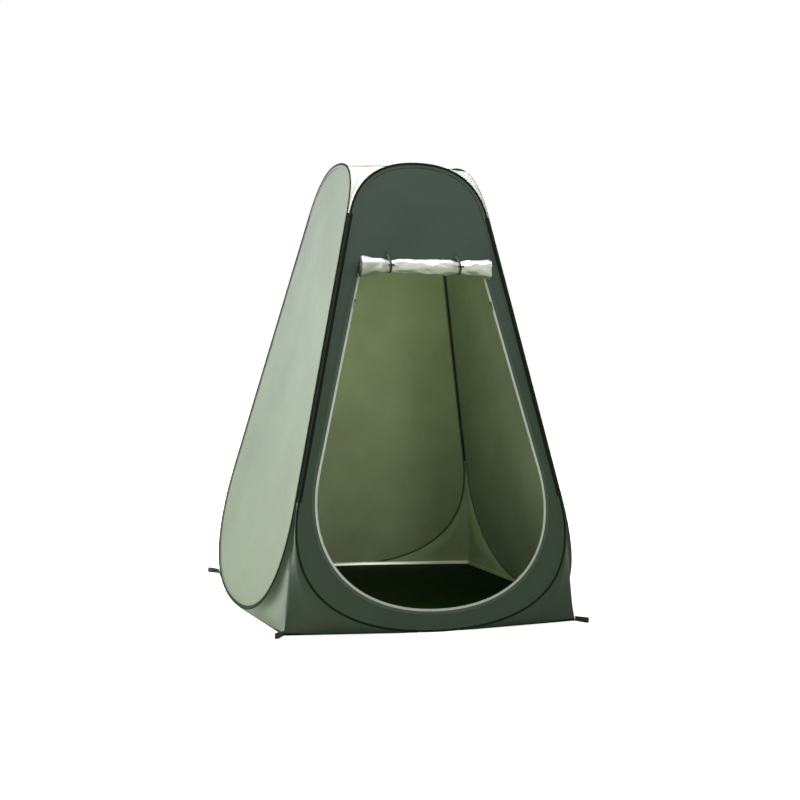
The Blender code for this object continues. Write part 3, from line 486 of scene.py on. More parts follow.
def cloth_grid(columns, rows, place):
    """A grid of faces put in place by a function of two shares.

    The function gives a point and its place on the flat cloth, which becomes the UV.
    """
    bm = bmesh.new()
    flat = bm.loops.layers.uv.new("cloth")
    bmesh.ops.create_grid(bm, x_segments=columns, y_segments=rows, size=1.0)
    on_cloth = {}
    for vertex in bm.verts:
        point, on_flat = place((vertex.co.x + 1) / 2, (vertex.co.y + 1) / 2)
        vertex.co = point
        on_cloth[vertex] = on_flat
    for face in bm.faces:
        for loop in face.loops:
            loop[flat].uv = on_cloth[loop.vert]
    return bm


def made_mesh(name, bm):
    """A mesh made from a bmesh, which is freed."""
    mesh = bpy.data.meshes.new(name)
    bm.to_mesh(mesh)
    bm.free()
    return mesh


def add_piece(name, bm, looks, matrix=None, stands_for=(), merge=True, turn_out=None, angle=50):
    """Turns a bmesh into a smooth object at the origin, with its finishes.

    A closed solid has its faces turned out, and a sheet that lies the wrong way round is flipped.
    """
    if merge:
        bmesh.ops.remove_doubles(bm, verts=bm.verts, dist=TINY)
    if turn_out == "closed":
        bmesh.ops.recalc_face_normals(bm, faces=bm.faces)
    elif turn_out == "flip":
        bmesh.ops.reverse_faces(bm, faces=bm.faces)
    if matrix:
        bm.transform(matrix)
    mesh = made_mesh(name, bm)
    mesh.shade_smooth()
    mesh.set_sharp_from_angle(angle=math.radians(angle))
    for finish in looks:
        mesh.materials.append(finish)
    made = bpy.data.objects.new(name, mesh)
    bpy.context.scene.collection.objects.link(made)
    if stands_for:
        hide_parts(*stands_for)
    return made


def give_thickness(piece, thickness, second_side=0, edge=0):
    """Gives a sheet its thickness about its own surface, with a crisp edge all round.

    The inner side and the edge may have the second finish.
    """
    bm = bmesh.new()
    bm.from_mesh(piece.data)
    for border in bm.edges:
        if border.is_boundary:
            border.smooth = False
    bm.to_mesh(piece.data)
    bm.free()
    shell = piece.modifiers.new("thickness", "SOLIDIFY")
    shell.thickness = thickness
    shell.offset = 0
    shell.material_offset = second_side
    shell.material_offset_rim = edge


def copies_along(name, unit, points, pitch, closed, lift):
    """Copies of a small mesh in a row along a line in the wall's plane, as one bmesh."""
    path = bpy.data.curves.new(name + "_path", "CURVE")
    path.dimensions = "3D"
    path.twist_mode = "Z_UP"
    spline = path.splines.new("POLY")
    spline.points.add(len(points) - 1)
    for made, point in zip(spline.points, points):
        made.co = (point.x, point.y, 0, 1)
    spline.use_cyclic_u = closed
    guide = bpy.data.objects.new(name + "_path", path)
    row = bpy.data.objects.new(name + "_row", unit)
    for item in (guide, row):
        bpy.context.scene.collection.objects.link(item)
    length = Line(points + points[:1] if closed else points).length
    array = row.modifiers.new("row", "ARRAY")
    array.count = max(1, int(length / pitch))
    array.use_relative_offset = False
    array.use_constant_offset = True
    array.constant_offset_displace = (length / array.count, 0, 0)
    bend = row.modifiers.new("bend", "CURVE")
    bend.object = guide
    bend.deform_axis = "POS_X"
    made = row.evaluated_get(bpy.context.evaluated_depsgraph_get()).to_mesh()
    bm = bmesh.new()
    bm.from_mesh(made)
    bmesh.ops.translate(bm, verts=bm.verts, vec=(0, 0, lift))
    bpy.data.objects.remove(row)
    bpy.data.objects.remove(guide)
    return bm


def stitch_mesh(length, thread):
    """One stitch, a short rounded length of thread along X."""
    bm = bmesh.new()
    bmesh.ops.create_uvsphere(bm, u_segments=6, v_segments=4, radius=1.0)
    bmesh.ops.scale(bm, vec=(thread * 0.55, thread * 0.4, length / 2), verts=bm.verts)
    bmesh.ops.rotate(bm, verts=bm.verts, matrix=Matrix.Rotation(math.pi / 2, 3, "Y"))
    bmesh.ops.translate(bm, verts=bm.verts, vec=(length / 2, 0, 0))
    return made_mesh("stitch", bm)


def add_stitching(name, points, closed, lift, wall, finish):
    """A row of stitches along a line on a wall."""
    cloth = bpy.context.scene.tent_cloth
    unit = stitch_mesh(cloth.stitch * STITCH_SHARE, cloth.thread)
    bm = copies_along(name, unit, points, cloth.stitch, closed, lift)
    return add_piece(name, bm, [finish], wall_frame(wall), merge=False)


def feed(tree, socket, value):
    """Links a socket to another socket, or sets its value."""
    if isinstance(value, bpy.types.NodeSocket):
        tree.links.new(value, socket)
    else:
        socket.default_value = value


def add_node(tree, kind, **inputs):
    """A shader node with some sockets fed. An underscore stands for a space in a socket's name."""
    made = tree.nodes.new(kind)
    for socket, value in inputs.items():
        feed(tree, made.inputs[socket.replace("_", " ")], value)
    return made


def add_math(tree, operation, first, second):
    """The result of a Math node."""
    made = tree.nodes.new("ShaderNodeMath")
    made.operation = operation
    feed(tree, made.inputs[0], first)
    feed(tree, made.inputs[1], second)
    return made.outputs[0]


def mix_colours(tree, share, first, second, way="MIX"):
    """The result of a Mix node for colours."""
    made = tree.nodes.new("ShaderNodeMix")
    made.data_type = "RGBA"
    made.blend_type = way
    feed(tree, made.inputs[MIX_SHARE], share)
    feed(tree, made.inputs[MIX_FIRST], first)
    feed(tree, made.inputs[MIX_SECOND], second)
    return made.outputs[MIX_RESULT]


def share_of(tree, value, low, high):
    """Where a value lies in a range, from 0 to 1."""
    return add_node(tree, "ShaderNodeMapRange", Value=value, From_Min=low, From_Max=high).outputs[0]


def vary_gloss(tree, shader, value, roughness, give):
    """Lets the roughness vary a little with a noise."""
    low, high = roughness - give, roughness + give
    gloss = add_node(tree, "ShaderNodeMapRange", Value=value, To_Min=low, To_Max=high)
    feed(tree, shader.inputs["Roughness"], gloss.outputs[0])


def add_noise(tree, place, scale, **inputs):
    """The height of a noise at a place."""
    return add_node(tree, "ShaderNodeTexNoise", Vector=place, Scale=scale, **inputs).outputs["Fac"]


def shade(tint, share):
    """A colour made darker or lighter."""
    return (tint[0] * share, tint[1] * share, tint[2] * share, 1.0)


def new_finish(name, tint, roughness, metallic=0.0, specular=0.5):
    """A material with a plain Principled shader, and its node tree."""
    made = bpy.data.materials.new(name)
    made.use_nodes = True
    made.diffuse_color = shade(tint, 1.0)
    shader = made.node_tree.nodes["Principled BSDF"]
    shader.inputs["Base Color"].default_value = shade(tint, 1.0)
    shader.inputs["Roughness"].default_value = roughness
    shader.inputs["Metallic"].default_value = metallic
    shader.inputs["Specular IOR Level"].default_value = specular
    return made, made.node_tree, shader


def threads_and_slubs(tree, flat, weave):
    """The heights of woven threads and of the thicker slubs among them, both ways across the cloth."""
    threads = []
    slubs = []
    for across, stretch in (("X", (1 / weave, SLUB_STRETCH, 1.0)), ("Y", (SLUB_STRETCH, 1 / weave, 1.0))):
        bands = add_node(tree, "ShaderNodeTexWave", Vector=flat, Scale=WAVE_SCALE / weave, Distortion=0.6)
        bands.bands_direction = across
        threads.append(bands.outputs["Fac"])
        spread = add_node(tree, "ShaderNodeMapping", Vector=flat, Scale=stretch)
        slubs.append(add_noise(tree, spread.outputs[0], 1.0, Detail=1.0))
    return add_math(tree, "MULTIPLY", threads[0], threads[1]), add_math(tree, "ADD", slubs[0], slubs[1])


def cloth_finish(
    name, tint, roughness, weave=0.0010, sheen=0.0, crinkle=0.0, tone=0.16, specular=0.5, metallic=0.0,
    glow=0.0, painted_low_shade=None, low_shade_heights=(0.0, 1.5),
):
    """Woven cloth: fine threads, thicker slubs both ways, a slow change of tone and soft crinkles.

    It may have painted shade low down, a darker tone reached over a range of heights, and let light through.
    """
    found = bpy.data.materials.get(name)
    if found:
        return found
    made, tree, shader = new_finish(name, tint, roughness, metallic, specular)
    shader.inputs["Sheen Weight"].default_value = sheen
    shader.inputs["Sheen Roughness"].default_value = 0.4
    flat = tree.nodes.new("ShaderNodeUVMap")
    flat.uv_map = "cloth"
    space = tree.nodes.new("ShaderNodeTexCoord").outputs["Object"]
    thread_height, slub_height = threads_and_slubs(tree, flat.outputs[0], weave)
    broad = add_noise(tree, space, 3.2, Detail=3.0, Roughness=0.55)
    mottle = add_math(tree, "ADD", add_math(tree, "MULTIPLY", slub_height, 0.22), broad)
    mottle = share_of(tree, mottle, 0.45, 1.0)
    tones = mix_colours(tree, mottle, shade(tint, 1 - tone), shade(tint, 1 + tone))
    # Painted shade: the colour darkens towards the bottom, over a range of heights
    if painted_low_shade:
        up = add_node(tree, "ShaderNodeSeparateXYZ", Vector=space).outputs[2]
        rise = mix_colours(tree, share_of(tree, up, *low_shade_heights), painted_low_shade, WHITE)
        tones = mix_colours(tree, 1.0, tones, rise, "MULTIPLY")
    feed(tree, shader.inputs["Base Color"], tones)
    vary_gloss(tree, shader, broad, roughness, 0.06)
    height = add_math(tree, "ADD", add_math(tree, "MULTIPLY", thread_height, 0.5), slub_height)
    if crinkle:
        folds = add_noise(tree, space, crinkle, Detail=4.0, Distortion=0.8)
        height = add_math(tree, "ADD", height, add_math(tree, "MULTIPLY", folds, CRINKLE_HEIGHT))
    bump = add_node(tree, "ShaderNodeBump", Height=height, Strength=0.5, Distance=THREAD_RELIEF).outputs[0]
    feed(tree, shader.inputs["Normal"], bump)
    if glow:
        through = add_node(tree, "ShaderNodeBsdfTranslucent", Normal=bump, Color=shade(tint, 1.1))
        both = add_node(tree, "ShaderNodeMixShader", Fac=glow)
        feed(tree, both.inputs[1], shader.outputs[0])
        feed(tree, both.inputs[2], through.outputs[0])
        feed(tree, tree.nodes["Material Output"].inputs["Surface"], both.outputs[0])
    return made


def zip_tape_finish(light, dark):
    """The zip's tape: pale beside the teeth, and the wall's green where it is sewn on."""
    name = "Zip tape"
    found = bpy.data.materials.get(name)
    if found:
        return found
    made = cloth_finish(name, light, 0.60, weave=0.0012)
    tree = made.node_tree
    base = tree.nodes["Principled BSDF"].inputs["Base Color"]
    flat = tree.nodes.new("ShaderNodeUVMap")
    flat.uv_map = "cloth"
    across = add_node(tree, "ShaderNodeSeparateXYZ", Vector=flat.outputs[0]).outputs[0]
    sewn = share_of(tree, across, *ZIP_TONES_MEET)
    feed(tree, base, mix_colours(tree, sewn, base.links[0].from_socket, shade(dark, 1.0)))
    return made


def grain_finish(name, tint, roughness, metallic, scale, depth=0.0001, tone=0.12):
    """Moulded plastic or drawn metal: fine grain, small scratches in the gloss."""
    found = bpy.data.materials.get(name)
    if found:
        return found
    made, tree, shader = new_finish(name, tint, roughness, metallic)
    space = tree.nodes.new("ShaderNodeTexCoord").outputs["Object"]
    grain = add_noise(tree, space, scale, Detail=4.0, Roughness=0.6)
    tones = mix_colours(tree, grain, shade(tint, 1 - tone), shade(tint, 1 + tone))
    feed(tree, shader.inputs["Base Color"], tones)
    vary_gloss(tree, shader, grain, roughness, 0.08)
    bump = add_node(tree, "ShaderNodeBump", Height=grain, Strength=0.4, Distance=depth)
    feed(tree, shader.inputs["Normal"], bump.outputs[0])
    return made


def finishes():
    """Every finish of the tent, by a short name."""
    tints = bpy.context.scene.tent_colours
    wall = {"sheen": 0.08, "crinkle": 9.0, "specular": 0.3}
    return {
        # The walls' outside has painted shade and a warm bounce tint low down
        "outer": cloth_finish("Outer cloth", tints.outer, 0.50, painted_low_shade=WALL_PAINTED_SHADE, **wall),
        # The front wall's outside is a copy of the outer cloth with its own painted shade low down
        "front": cloth_finish(
            "Front cloth with painted shade", tints.outer, 0.50, painted_low_shade=FRONT_PAINTED_SHADE, low_shade_heights=FRONT_SHADE_HEIGHTS, **wall
        ),
        "inner": cloth_finish("Inner coating", tints.inner, 0.60, crinkle=9.0),
        # The right wall's inside: the inner coating darkened as painted shade
        "inner_right_shaded": cloth_finish("Inner coating right painted shade", tints.inner_right_shaded, 0.62, crinkle=9.0),
        "tape": cloth_finish("Edge tape", tints.tape, 0.78, weave=0.0014, specular=0.06),
        "inner_tape": cloth_finish("Inner edge tape", tints.inner_tape, 0.78, weave=0.0014, specular=0.1),
        # The lining has painted shade over the roll's lower half
        "lining": cloth_finish(
            "Door lining", tints.lining, 0.40, crinkle=30.0, tone=0.08, metallic=0.65,
            painted_low_shade=LINING_PAINTED_SHADE, low_shade_heights=LINING_SHADE_HEIGHTS,
        ),
        "roof": cloth_finish("Roof cloth", tints.silver, 0.42, crinkle=16.0, tone=0.06, glow=0.5),
        "floor": cloth_finish("Groundsheet", tints.floor, 0.55, weave=0.0016, crinkle=14.0, specular=0.05),
        "rim": cloth_finish("Floor rim", tints.rim, 0.34, weave=0.0014, metallic=0.85),
        "zip_tape": zip_tape_finish(tints.zip_tape, tints.outer),
        "teeth": grain_finish("Zip teeth", tints.teeth, 0.38, 0.0, 260.0),
        "thread": cloth_finish("Thread", tints.thread, 0.55, weave=0.0006, sheen=0.2),
        "webbing": cloth_finish("Webbing", tints.webbing, 0.66, weave=0.0022, sheen=0.05, specular=0.3),
        "tie": cloth_finish("Tie webbing", tints.tie, 0.66, weave=0.0022, specular=0.3),
        "metal": grain_finish("Slider metal", tints.metal, 0.32, 0.8, 320.0, depth=0.00006),
        "steel": grain_finish("Spring steel", tints.steel, 0.36, 1.0, 140.0),
        "toggle": grain_finish("Toggle plastic", tints.toggle, 0.42, 0.0, 420.0),
    }


def wall_sides(looks, wall):
    """The finishes of a wall's outside and inside."""
    # The front wall's outside is the copy with painted shade
    outside = looks["front"] if wall == "front" else looks["outer"]
    # The right wall's inside takes the copy with painted shade
    inside = looks["inner_right_shaded"] if wall == "right" else looks["inner"]
    return [outside, inside]


def patch_point(sides, s, t):
    """A point of the surface stretched between four sides that meet at its corners."""
    bottom, right, top, left = sides
    across = bottom.share(s).lerp(top.share(s), t)
    upwards = left.share(t).lerp(right.share(t), s)
    low = bottom.share(0).lerp(bottom.share(1), s)
    high = top.share(0).lerp(top.share(1), s)
    return across + upwards - low.lerp(high, t)


def slack_at(x, u, edge_distance, seed):
    """How far a wall's cloth stands out at a place: broad waves, and puckers close to its sewn edge."""
    cloth = bpy.context.scene.tent_cloth
    hold = 1 - math.exp(-edge_distance / HOLD_REACH)
    broad = wave(x * 2.6, u * 1.1, seed) + 0.45 * wave(x * 6.5, u * 2.3, seed + 5)
    by_seam = math.exp(-edge_distance / PUCKER_REACH) * min(1, edge_distance / SEAM_REACH)
    draw = wave(x * 30, u * 30, seed + 11) * by_seam
    return hold * cloth.slack * broad + cloth.pucker * draw - hold * WALL_HOLLOW


def beside_hoop(start, end, inset, steps):
    """Points beside the half hoop, evenly spaced between two distances along it."""
    return [HOOP.beside(start + (end - start) * step / steps, inset) for step in range(steps + 1)]


def edge_points(inset):
    """The right half of a wall cloth's edge, in three parts: foot, side and arch."""
    side_end = HOOP.length - ARCH_BEND
    foot = beside_hoop(0, FOOT_BEND, inset, FOOT_STEPS)
    side = beside_hoop(FOOT_BEND, side_end, inset, SIDE_STEPS)
    arch = beside_hoop(side_end, HOOP.length, inset, ARCH_STEPS)
    return foot, side, arch


def closed_wall(seed):
    """A wall cloth without a doorway."""
    foot, side, arch = edge_points(CLOTH_INSET)
    bottom = Line(mirrored(foot)[:-1] + foot)
    top = Line((arch + mirrored(arch)[1:])[::-1])
    right = Line(side)
    left = Line(mirrored(side)[::-1])
    sides = (bottom, right, top, left)

    def place(s, t):
        point = patch_point(sides, s, t)
        width = abs(right.share(t).x - left.share(t).x)
        edge = min(min(s, 1 - s) * width, min(t, 1 - t) * WALL_REACH)
        level = EDGE_OFFSET + slack_at(point.x, point.y, edge, seed)
        return Vector((point.x, point.y, level)), (point.x, point.y)

    return cloth_grid(*WALL_GRID, place)


def door_parts():
    """The doorway's right half in three parts that match those of the wall's edge."""
    foot = DOOR.part(0, DOOR_BEND)
    side = DOOR.part(DOOR_BEND, DOOR.length)
    shares = [1 - step / DOOR_TOP_STEPS for step in range(DOOR_TOP_STEPS + 1)]
    top = [Vector((DOOR_TOP_HALF * share, DOOR_TOP, 0)) for share in shares]
    return foot, side, top


def front_wall(seed):
    """The front wall's cloth, a band from the sleeve to the doorway, in six stretches round it."""
    stretches = []
    for foot, side, top in (edge_points(CLOTH_INSET), door_parts()):
        halves = (foot, side, top, mirrored(top), mirrored(side), mirrored(foot))
        stretches.append([Line(points) for points in halves])
    outer, inner = stretches
    counts = FRONT_STEPS + FRONT_STEPS[::-1]
    columns = sum(counts)
    starts = [sum(counts[:index]) for index in range(len(counts))]

    def place(s, t):
        column = s * columns
        part = max(index for index, start in enumerate(starts) if column >= start - TINY)
        share = (column - starts[part]) / counts[part]
        edge = outer[part].share(share)
        door = inner[part].share(share)
        point = edge.lerp(door, t)
        width = (door - edge).length
        from_door = (1 - t) * width
        near = min(t * width, max(0, from_door - DOOR_HEM))
        level = EDGE_OFFSET + slack_at(point.x, point.y, near, seed) * smooth(from_door / DOOR_CALM)
        if min(s, 1 - s) < TINY:
            point.x = 0.0
        return Vector((point.x, point.y, level)), (point.x, point.y)

    return cloth_grid(columns, FRONT_ROWS, place)


def arc_round(radius, half_opening, steps, way):
    """Points round a tube that is open towards the cloth, one way or the other."""
    start = math.asin(half_opening / radius)
    angles = [start + (2 * math.pi - 2 * start) * step / steps for step in range(steps + 1)]
    return [(radius * math.cos(angle), way * radius * math.sin(angle)) for angle in angles]


def sleeve_section():
    """Points round the sleeve: over the tube, along a lip, round the wire's channel and back out.

    The first number points to the cloth and the second outwards, from the hoop's centre line.
    """
    lip_middle = SLEEVE_RADIUS + SLEEVE_LIP / 2
    lip_end = SLEEVE_RADIUS + SLEEVE_LIP
    points = arc_round(SLEEVE_RADIUS, LIP_OUTER, SLEEVE_ARC_STEPS, 1)
    points += [(lip_middle, -LIP_OUTER), (lip_end, -LIP_OUTER), (lip_end, -LIP_INNER)]
    points += arc_round(CHANNEL_RADIUS, LIP_INNER, CHANNEL_ARC_STEPS, -1)
    points += [(lip_end, LIP_INNER), (lip_end, LIP_OUTER), (lip_middle, LIP_OUTER)]
    return points


def binding_and_painted_shade_at(wall, point):
    """Whether a wall's edge shows the dark binding at a place, rather than a lip of its own cloth; the dark
    band is partly the real binding and partly painted shade of the recess beside it.
    """
    return point.y < UPPER_SPLIT and (point.y > LOWER_SPLIT or wall != "front")


def sleeve_mesh(wall):
    """The sleeve of a hoop, drawn up a little along its length.

    Its finishes are, in this order, tape, outer lip, inner lip and inner tape.
    """
    section = sleeve_section()
    count = len(section)
    whole = 2 * HOOP.length
    pucker = bpy.context.scene.tent_cloth.pucker

    def place(s, t):
        along = t * whole
        a, b = section[round(s * count) % count]
        turn = t * 2 * math.pi
        ripple = wave(math.cos(turn) * 60, math.sin(turn) * 60, a * 90 + b * 40)
        on_tube = smooth((SLEEVE_RADIUS * 1.3 - a) / SLEEVE_RADIUS)
        b += math.copysign(1, b) * pucker * (0.28 * on_tube + 0.22) * (ripple - 0.3)
        point = hoop_place(along, a)
        return Vector((point.x, point.y, EDGE_OFFSET + b)), (s * SLEEVE_GIRTH, along)

    bm = cloth_grid(count, SLEEVE_STEPS, place)
    flat = bm.loops.layers.uv.active
    inside = SLEEVE_ARC_STEPS / 2 + 1
    arch_top = ROOF_LEVEL / COS_LEAN - LINED_BELOW_ROOF
    for face in bm.faces:
        step = sum(loop[flat].uv.x for loop in face.loops) / 4 / SLEEVE_GIRTH * count
        middle = face.calc_center_median()
        if step > count - LIP_POINTS:
            by_tube = step > count - 1
            # A bound lip shows the near-black tape: real binding, and painted shade along the recess
            face.material_index = 0 if by_tube and binding_and_painted_shade_at(wall, middle) else 1
        elif inside < step < SLEEVE_ARC_STEPS + LIP_POINTS and middle.y < arch_top:
            face.material_index = 2 if step > SLEEVE_ARC_STEPS else 3
    return bm


SLEEVE_SIDE = beside_hoop(0, HOOP.length, -SLEEVE_RADIUS, GUIDE_STEPS)


def beside_sleeve(height):
    """The point beside a hoop's sleeve, on its outer side, at a height on the slope."""
    index = bisect.bisect_left(SLEEVE_SIDE, height, key=lambda point: point.y)
    index = min(max(index, 1), GUIDE_STEPS)
    below, above = SLEEVE_SIDE[index - 1], SLEEVE_SIDE[index]
    return below.lerp(above, (height - below.y) / (above.y - below.y))


def slope_at(z):
    """Where on the slope a hoop's centre line has a height above the ground."""
    return (z - EDGE_OFFSET * SIN_LEAN) / COS_LEAN


def lower_crease(z, corner):
    """The crease of a lower gusset, from the end of the seam out to the hem's corner."""
    seam_end = LOWER_SPLIT * COS_LEAN
    seam_half = FOOT_OFFSET - SIN_LEAN * LOWER_SPLIT + EDGE_OFFSET / 2
    share = min(1, (seam_end - z) / (seam_end - HEM_LIFT))
    reach = seam_half * (1 - share) + HEM_HALF_WIDTH * share
    return Vector((math.copysign(reach, corner.x), math.copysign(reach, corner.y), z))


def level_out(place):
    """The level direction from the tent's middle to a place."""
    return Vector((place.x, place.y, 0)).normalized()


def lower_gusset_point(start, end, away, share, t, sag, seed):
    """A point of a lower gusset: rounded at its crease, and drawn inwards or out beside it."""
    cloth = bpy.context.scene.tent_cloth
    middle = (start + end) / 2
    side = end if away > 0 else start
    crease = lower_crease(start.z, middle)
    inwards = middle - crease
    give = min(cloth.crease * 0.5, LOWER_CREASE_GIVE / max(inwards.length, 0.001))
    rounded = max(0, 1 - abs(away) / cloth.crease) ** 2 * smooth(t / 0.25)
    made = crease.lerp(side, abs(away)) + inwards * give * rounded
    face_out = (side - crease).cross(Vector((0, 0, 1)))
    face_out = face_out.normalized() if face_out.length > TINY else level_out(middle)
    if face_out.dot(level_out(middle)) < 0:
        face_out = -face_out
    held = min(1, (end - start).length / 0.4) * smooth(t / 0.35)
    depth = sag * math.sin(math.pi * abs(away) ** 1.6)
    fan = GUSSET_FAN * wave(share * 9, t * 1.5, seed) * math.sin(math.pi * abs(away))
    return made + face_out * (fan - depth) * held


def upper_gusset_point(start, end, away, share, t, seed):
    """A point of an upper gusset, drawn in along its middle, where the cloth folds."""
    middle = (start + end) / 2
    side = end if away > 0 else start
    width = (end - start).length
    sag = UPPER_CREASE_SAG * math.sin(math.pi * t / 2) * (1 - abs(away))
    fold = max(0, 1 - abs(away) / UPPER_FOLD_SHARE) ** 2 * math.sin(math.pi * t * 0.92)
    fan = UPPER_FAN * wave(share * 7, t * 3, seed) * math.sin(math.pi * abs(away))
    depth = sag + UPPER_FOLD * fold * min(1, width / 0.08)
    return middle.lerp(side, abs(away)) + level_out(middle) * (fan - depth)


def gusset_surface(level, first, second, seed, part=WHOLE):
    """A gusset between two walls' sleeves.

    part is the share of its width that is made, because one corner's gusset is in two halves.
    """
    lower = level == "lower"
    low = slope_at(HEM_LIFT) if lower else UPPER_SPLIT + SEAM_TO_GUSSET
    high = LOWER_SPLIT - SEAM_TO_GUSSET if lower else slope_at(ROOF_LEVEL)
    rows = GUSSET_ROWS[level]
    edge = [beside_sleeve(low + (high - low) * step / rows) for step in range(rows + 1)]
    first_frame, second_frame = wall_frame(first), wall_frame(second)
    gusset_sag = bpy.context.scene.tent_cloth.gusset_sag

    def place(s, t):
        share = part[0] + (part[1] - part[0]) * s
        point = edge[round(t * rows)]
        start = first_frame @ Vector((point.x, point.y, EDGE_OFFSET))
        end = second_frame @ Vector((-point.x, point.y, EDGE_OFFSET))
        away = 2 * share - 1
        away = math.copysign(abs(away) ** CREASE_CROWDING, away)
        if lower:
            sag = -FRONT_BULGE if (second if away > 0 else first) == "front" else gusset_sag
            made = lower_gusset_point(start, end, away, share, t, sag, seed)
        else:
            made = upper_gusset_point(start, end, away, share, t, seed)
        return made, (away * (end - start).length / 2, start.z)

    return cloth_grid(round(GUSSET_COLUMNS * (part[1] - part[0])), rows, place)


def hem_surface(first, second, part=WHOLE):
    """The tape sewn over a lower gusset's hem."""
    point = beside_sleeve(slope_at(HEM_LIFT))
    start = wall_frame(first) @ Vector((point.x, point.y, EDGE_OFFSET))
    end = wall_frame(second) @ Vector((-point.x, point.y, EDGE_OFFSET))
    crease = lower_crease(HEM_LIFT, (start + end) / 2)

    def place(s, t):
        away = 2 * (part[0] + (part[1] - part[0]) * s) - 1
        side = end if away > 0 else start
        face_out = Vector((side.y - crease.y, crease.x - side.x, 0)).normalized()
        if face_out.dot(crease) < 0:
            face_out = -face_out
        rise = t * HEM_TAPE_HEIGHT
        made = crease.lerp(side, abs(away)) + face_out * (HEM_TAPE_GAP - rise * HEM_TAPE_LEAN)
        made.z = HEM_LIFT - HEM_TAPE_DROP + rise
        return made, (away * (end - start).length / 2, rise)

    return cloth_grid(round(HEM_COLUMNS * (part[1] - part[0])), 3, place)


def cut_to(bm, corners):
    """Cuts a flat mesh to the convex outline through some corners."""
    count = len(corners)
    for index in range(count):
        here = Vector((corners[index][0], corners[index][1], 0))
        there = Vector((corners[(index + 1) % count][0], corners[(index + 1) % count][1], 0))
        run = there - here
        outwards = Vector((run.y, -run.x, 0))
        geom = list(bm.verts) + list(bm.edges) + list(bm.faces)
        bmesh.ops.bisect_plane(bm, geom=geom, plane_co=here, plane_no=outwards, clear_outer=True)


def quarter_turns(points):
    """The same points round all four sides."""
    placed = []
    for turn in range(4):
        rotation = Matrix.Rotation(math.radians(90 * turn), 2)
        placed += [rotation @ Vector(point) for point in points]
    return placed


def roof_corners():
    """The roof's outline: a side along each arch, and a slanted side over each upper gusset."""
    reach = FOOT_OFFSET - ROOF_LEVEL * TAN_LEAN + EDGE_OFFSET / COS_LEAN
    top = beside_sleeve(slope_at(ROOF_LEVEL))
    start = wall_frame("front") @ Vector((top.x, top.y, EDGE_OFFSET))
    flat = start.x - start.y - reach - UPPER_CREASE_SAG / 2
    return quarter_turns([(-flat, -reach), (flat, -reach)])


def flat_grid(half, count):
    """A flat square grid about the origin, with its own place as UV."""

    def place(s, t):
        return Vector(((2 * s - 1) * half, (2 * t - 1) * half, 0)), (s * 2 * half, t * 2 * half)

    return cloth_grid(count, count, place)


def strip_round(corners, section, level):
    """A section carried round a flat outline. Its numbers point inwards and up."""
    count = len(corners)
    bm = bmesh.new()
    rings = []
    for index in range(count):
        here = Vector(corners[index])
        before = (here - Vector(corners[index - 1])).normalized()
        after = (Vector(corners[(index + 1) % count]) - here).normalized()
        inwards = Vector((-before.y - after.y, before.x + after.x)).normalized()
        inwards /= inwards.dot(Vector((-before.y, before.x)))
        ring = []
        for a, b in section:
            spot = here + inwards * a
            ring.append(bm.verts.new((spot.x, spot.y, level + b)))
        rings.append(ring)
    loops = [[bm.edges.new((ring[i - 1], ring[i])) for i in range(len(ring))] for ring in rings]
    for index in range(count):
        bmesh.ops.bridge_loops(bm, edges=loops[index - 1] + loops[index])
    return bm


def soften(bm, width, segments=2):
    """Bevels every sharp edge of a small closed solid."""
    sharp = [edge for edge in bm.edges if edge.is_manifold and edge.calc_face_angle(0) > math.radians(35)]
    bmesh.ops.bevel(
        bm, geom=sharp, offset=width, segments=segments, profile=0.5, affect="EDGES", material=-1,
        clamp_overlap=True,
    )


def roll_radius(x):
    """The roll's radius along its length: drawn in at the ties, and wider at its loose ends."""
    distance = abs(x) - TIE_PLACE
    pinch = PINCH_DEPTH * math.exp(-((distance / PINCH_WIDTH) ** 2))
    share = (abs(x) - FLARE_START) / (ROLL_HALF_LENGTH - FLARE_START)
    return ROLL_RADIUS - pinch + FLARE * smooth(share)


def roll_fold(x, angle, around, loose_end):
    """How far the rolled cloth stands out, in crumples: ridges along it, gathers at a tie, loose ends.

    around is the share of the turn, which is held where the flap leaves it and under the layer above.
    """
    c, d = math.cos(angle), math.sin(angle)
    from_tie = abs(x) - TIE_PLACE
    ridge = 0.5 - 1.6 * abs(wave(x * 11 + c * 0.8, c * 1.5 - x * 7, d * 1.5 + x * 5))
    folds = ridge + 0.7 * wave(x * 16, c * 2.2 + 7, d * 2.2) + 0.25 * wave(x * 36, c * 4, d * 4)
    gathers = 0.5 * math.cos(angle * 5 + x * 40) * math.exp(-((from_tie / GATHER_REACH) ** 2))
    loose = 1.6 * loose_end * wave(c * 1.7, d * 1.7, x * 6)
    free = smooth(min(around * 3, (1 - around) * 8)) * (0.35 + 0.65 * smooth((c + 0.8) / 0.8))
    at_tie = math.exp(-((from_tie / TIE_GRIP) ** 2))
    return (folds + gathers + loose) * free * (1 - 0.85 * at_tie)


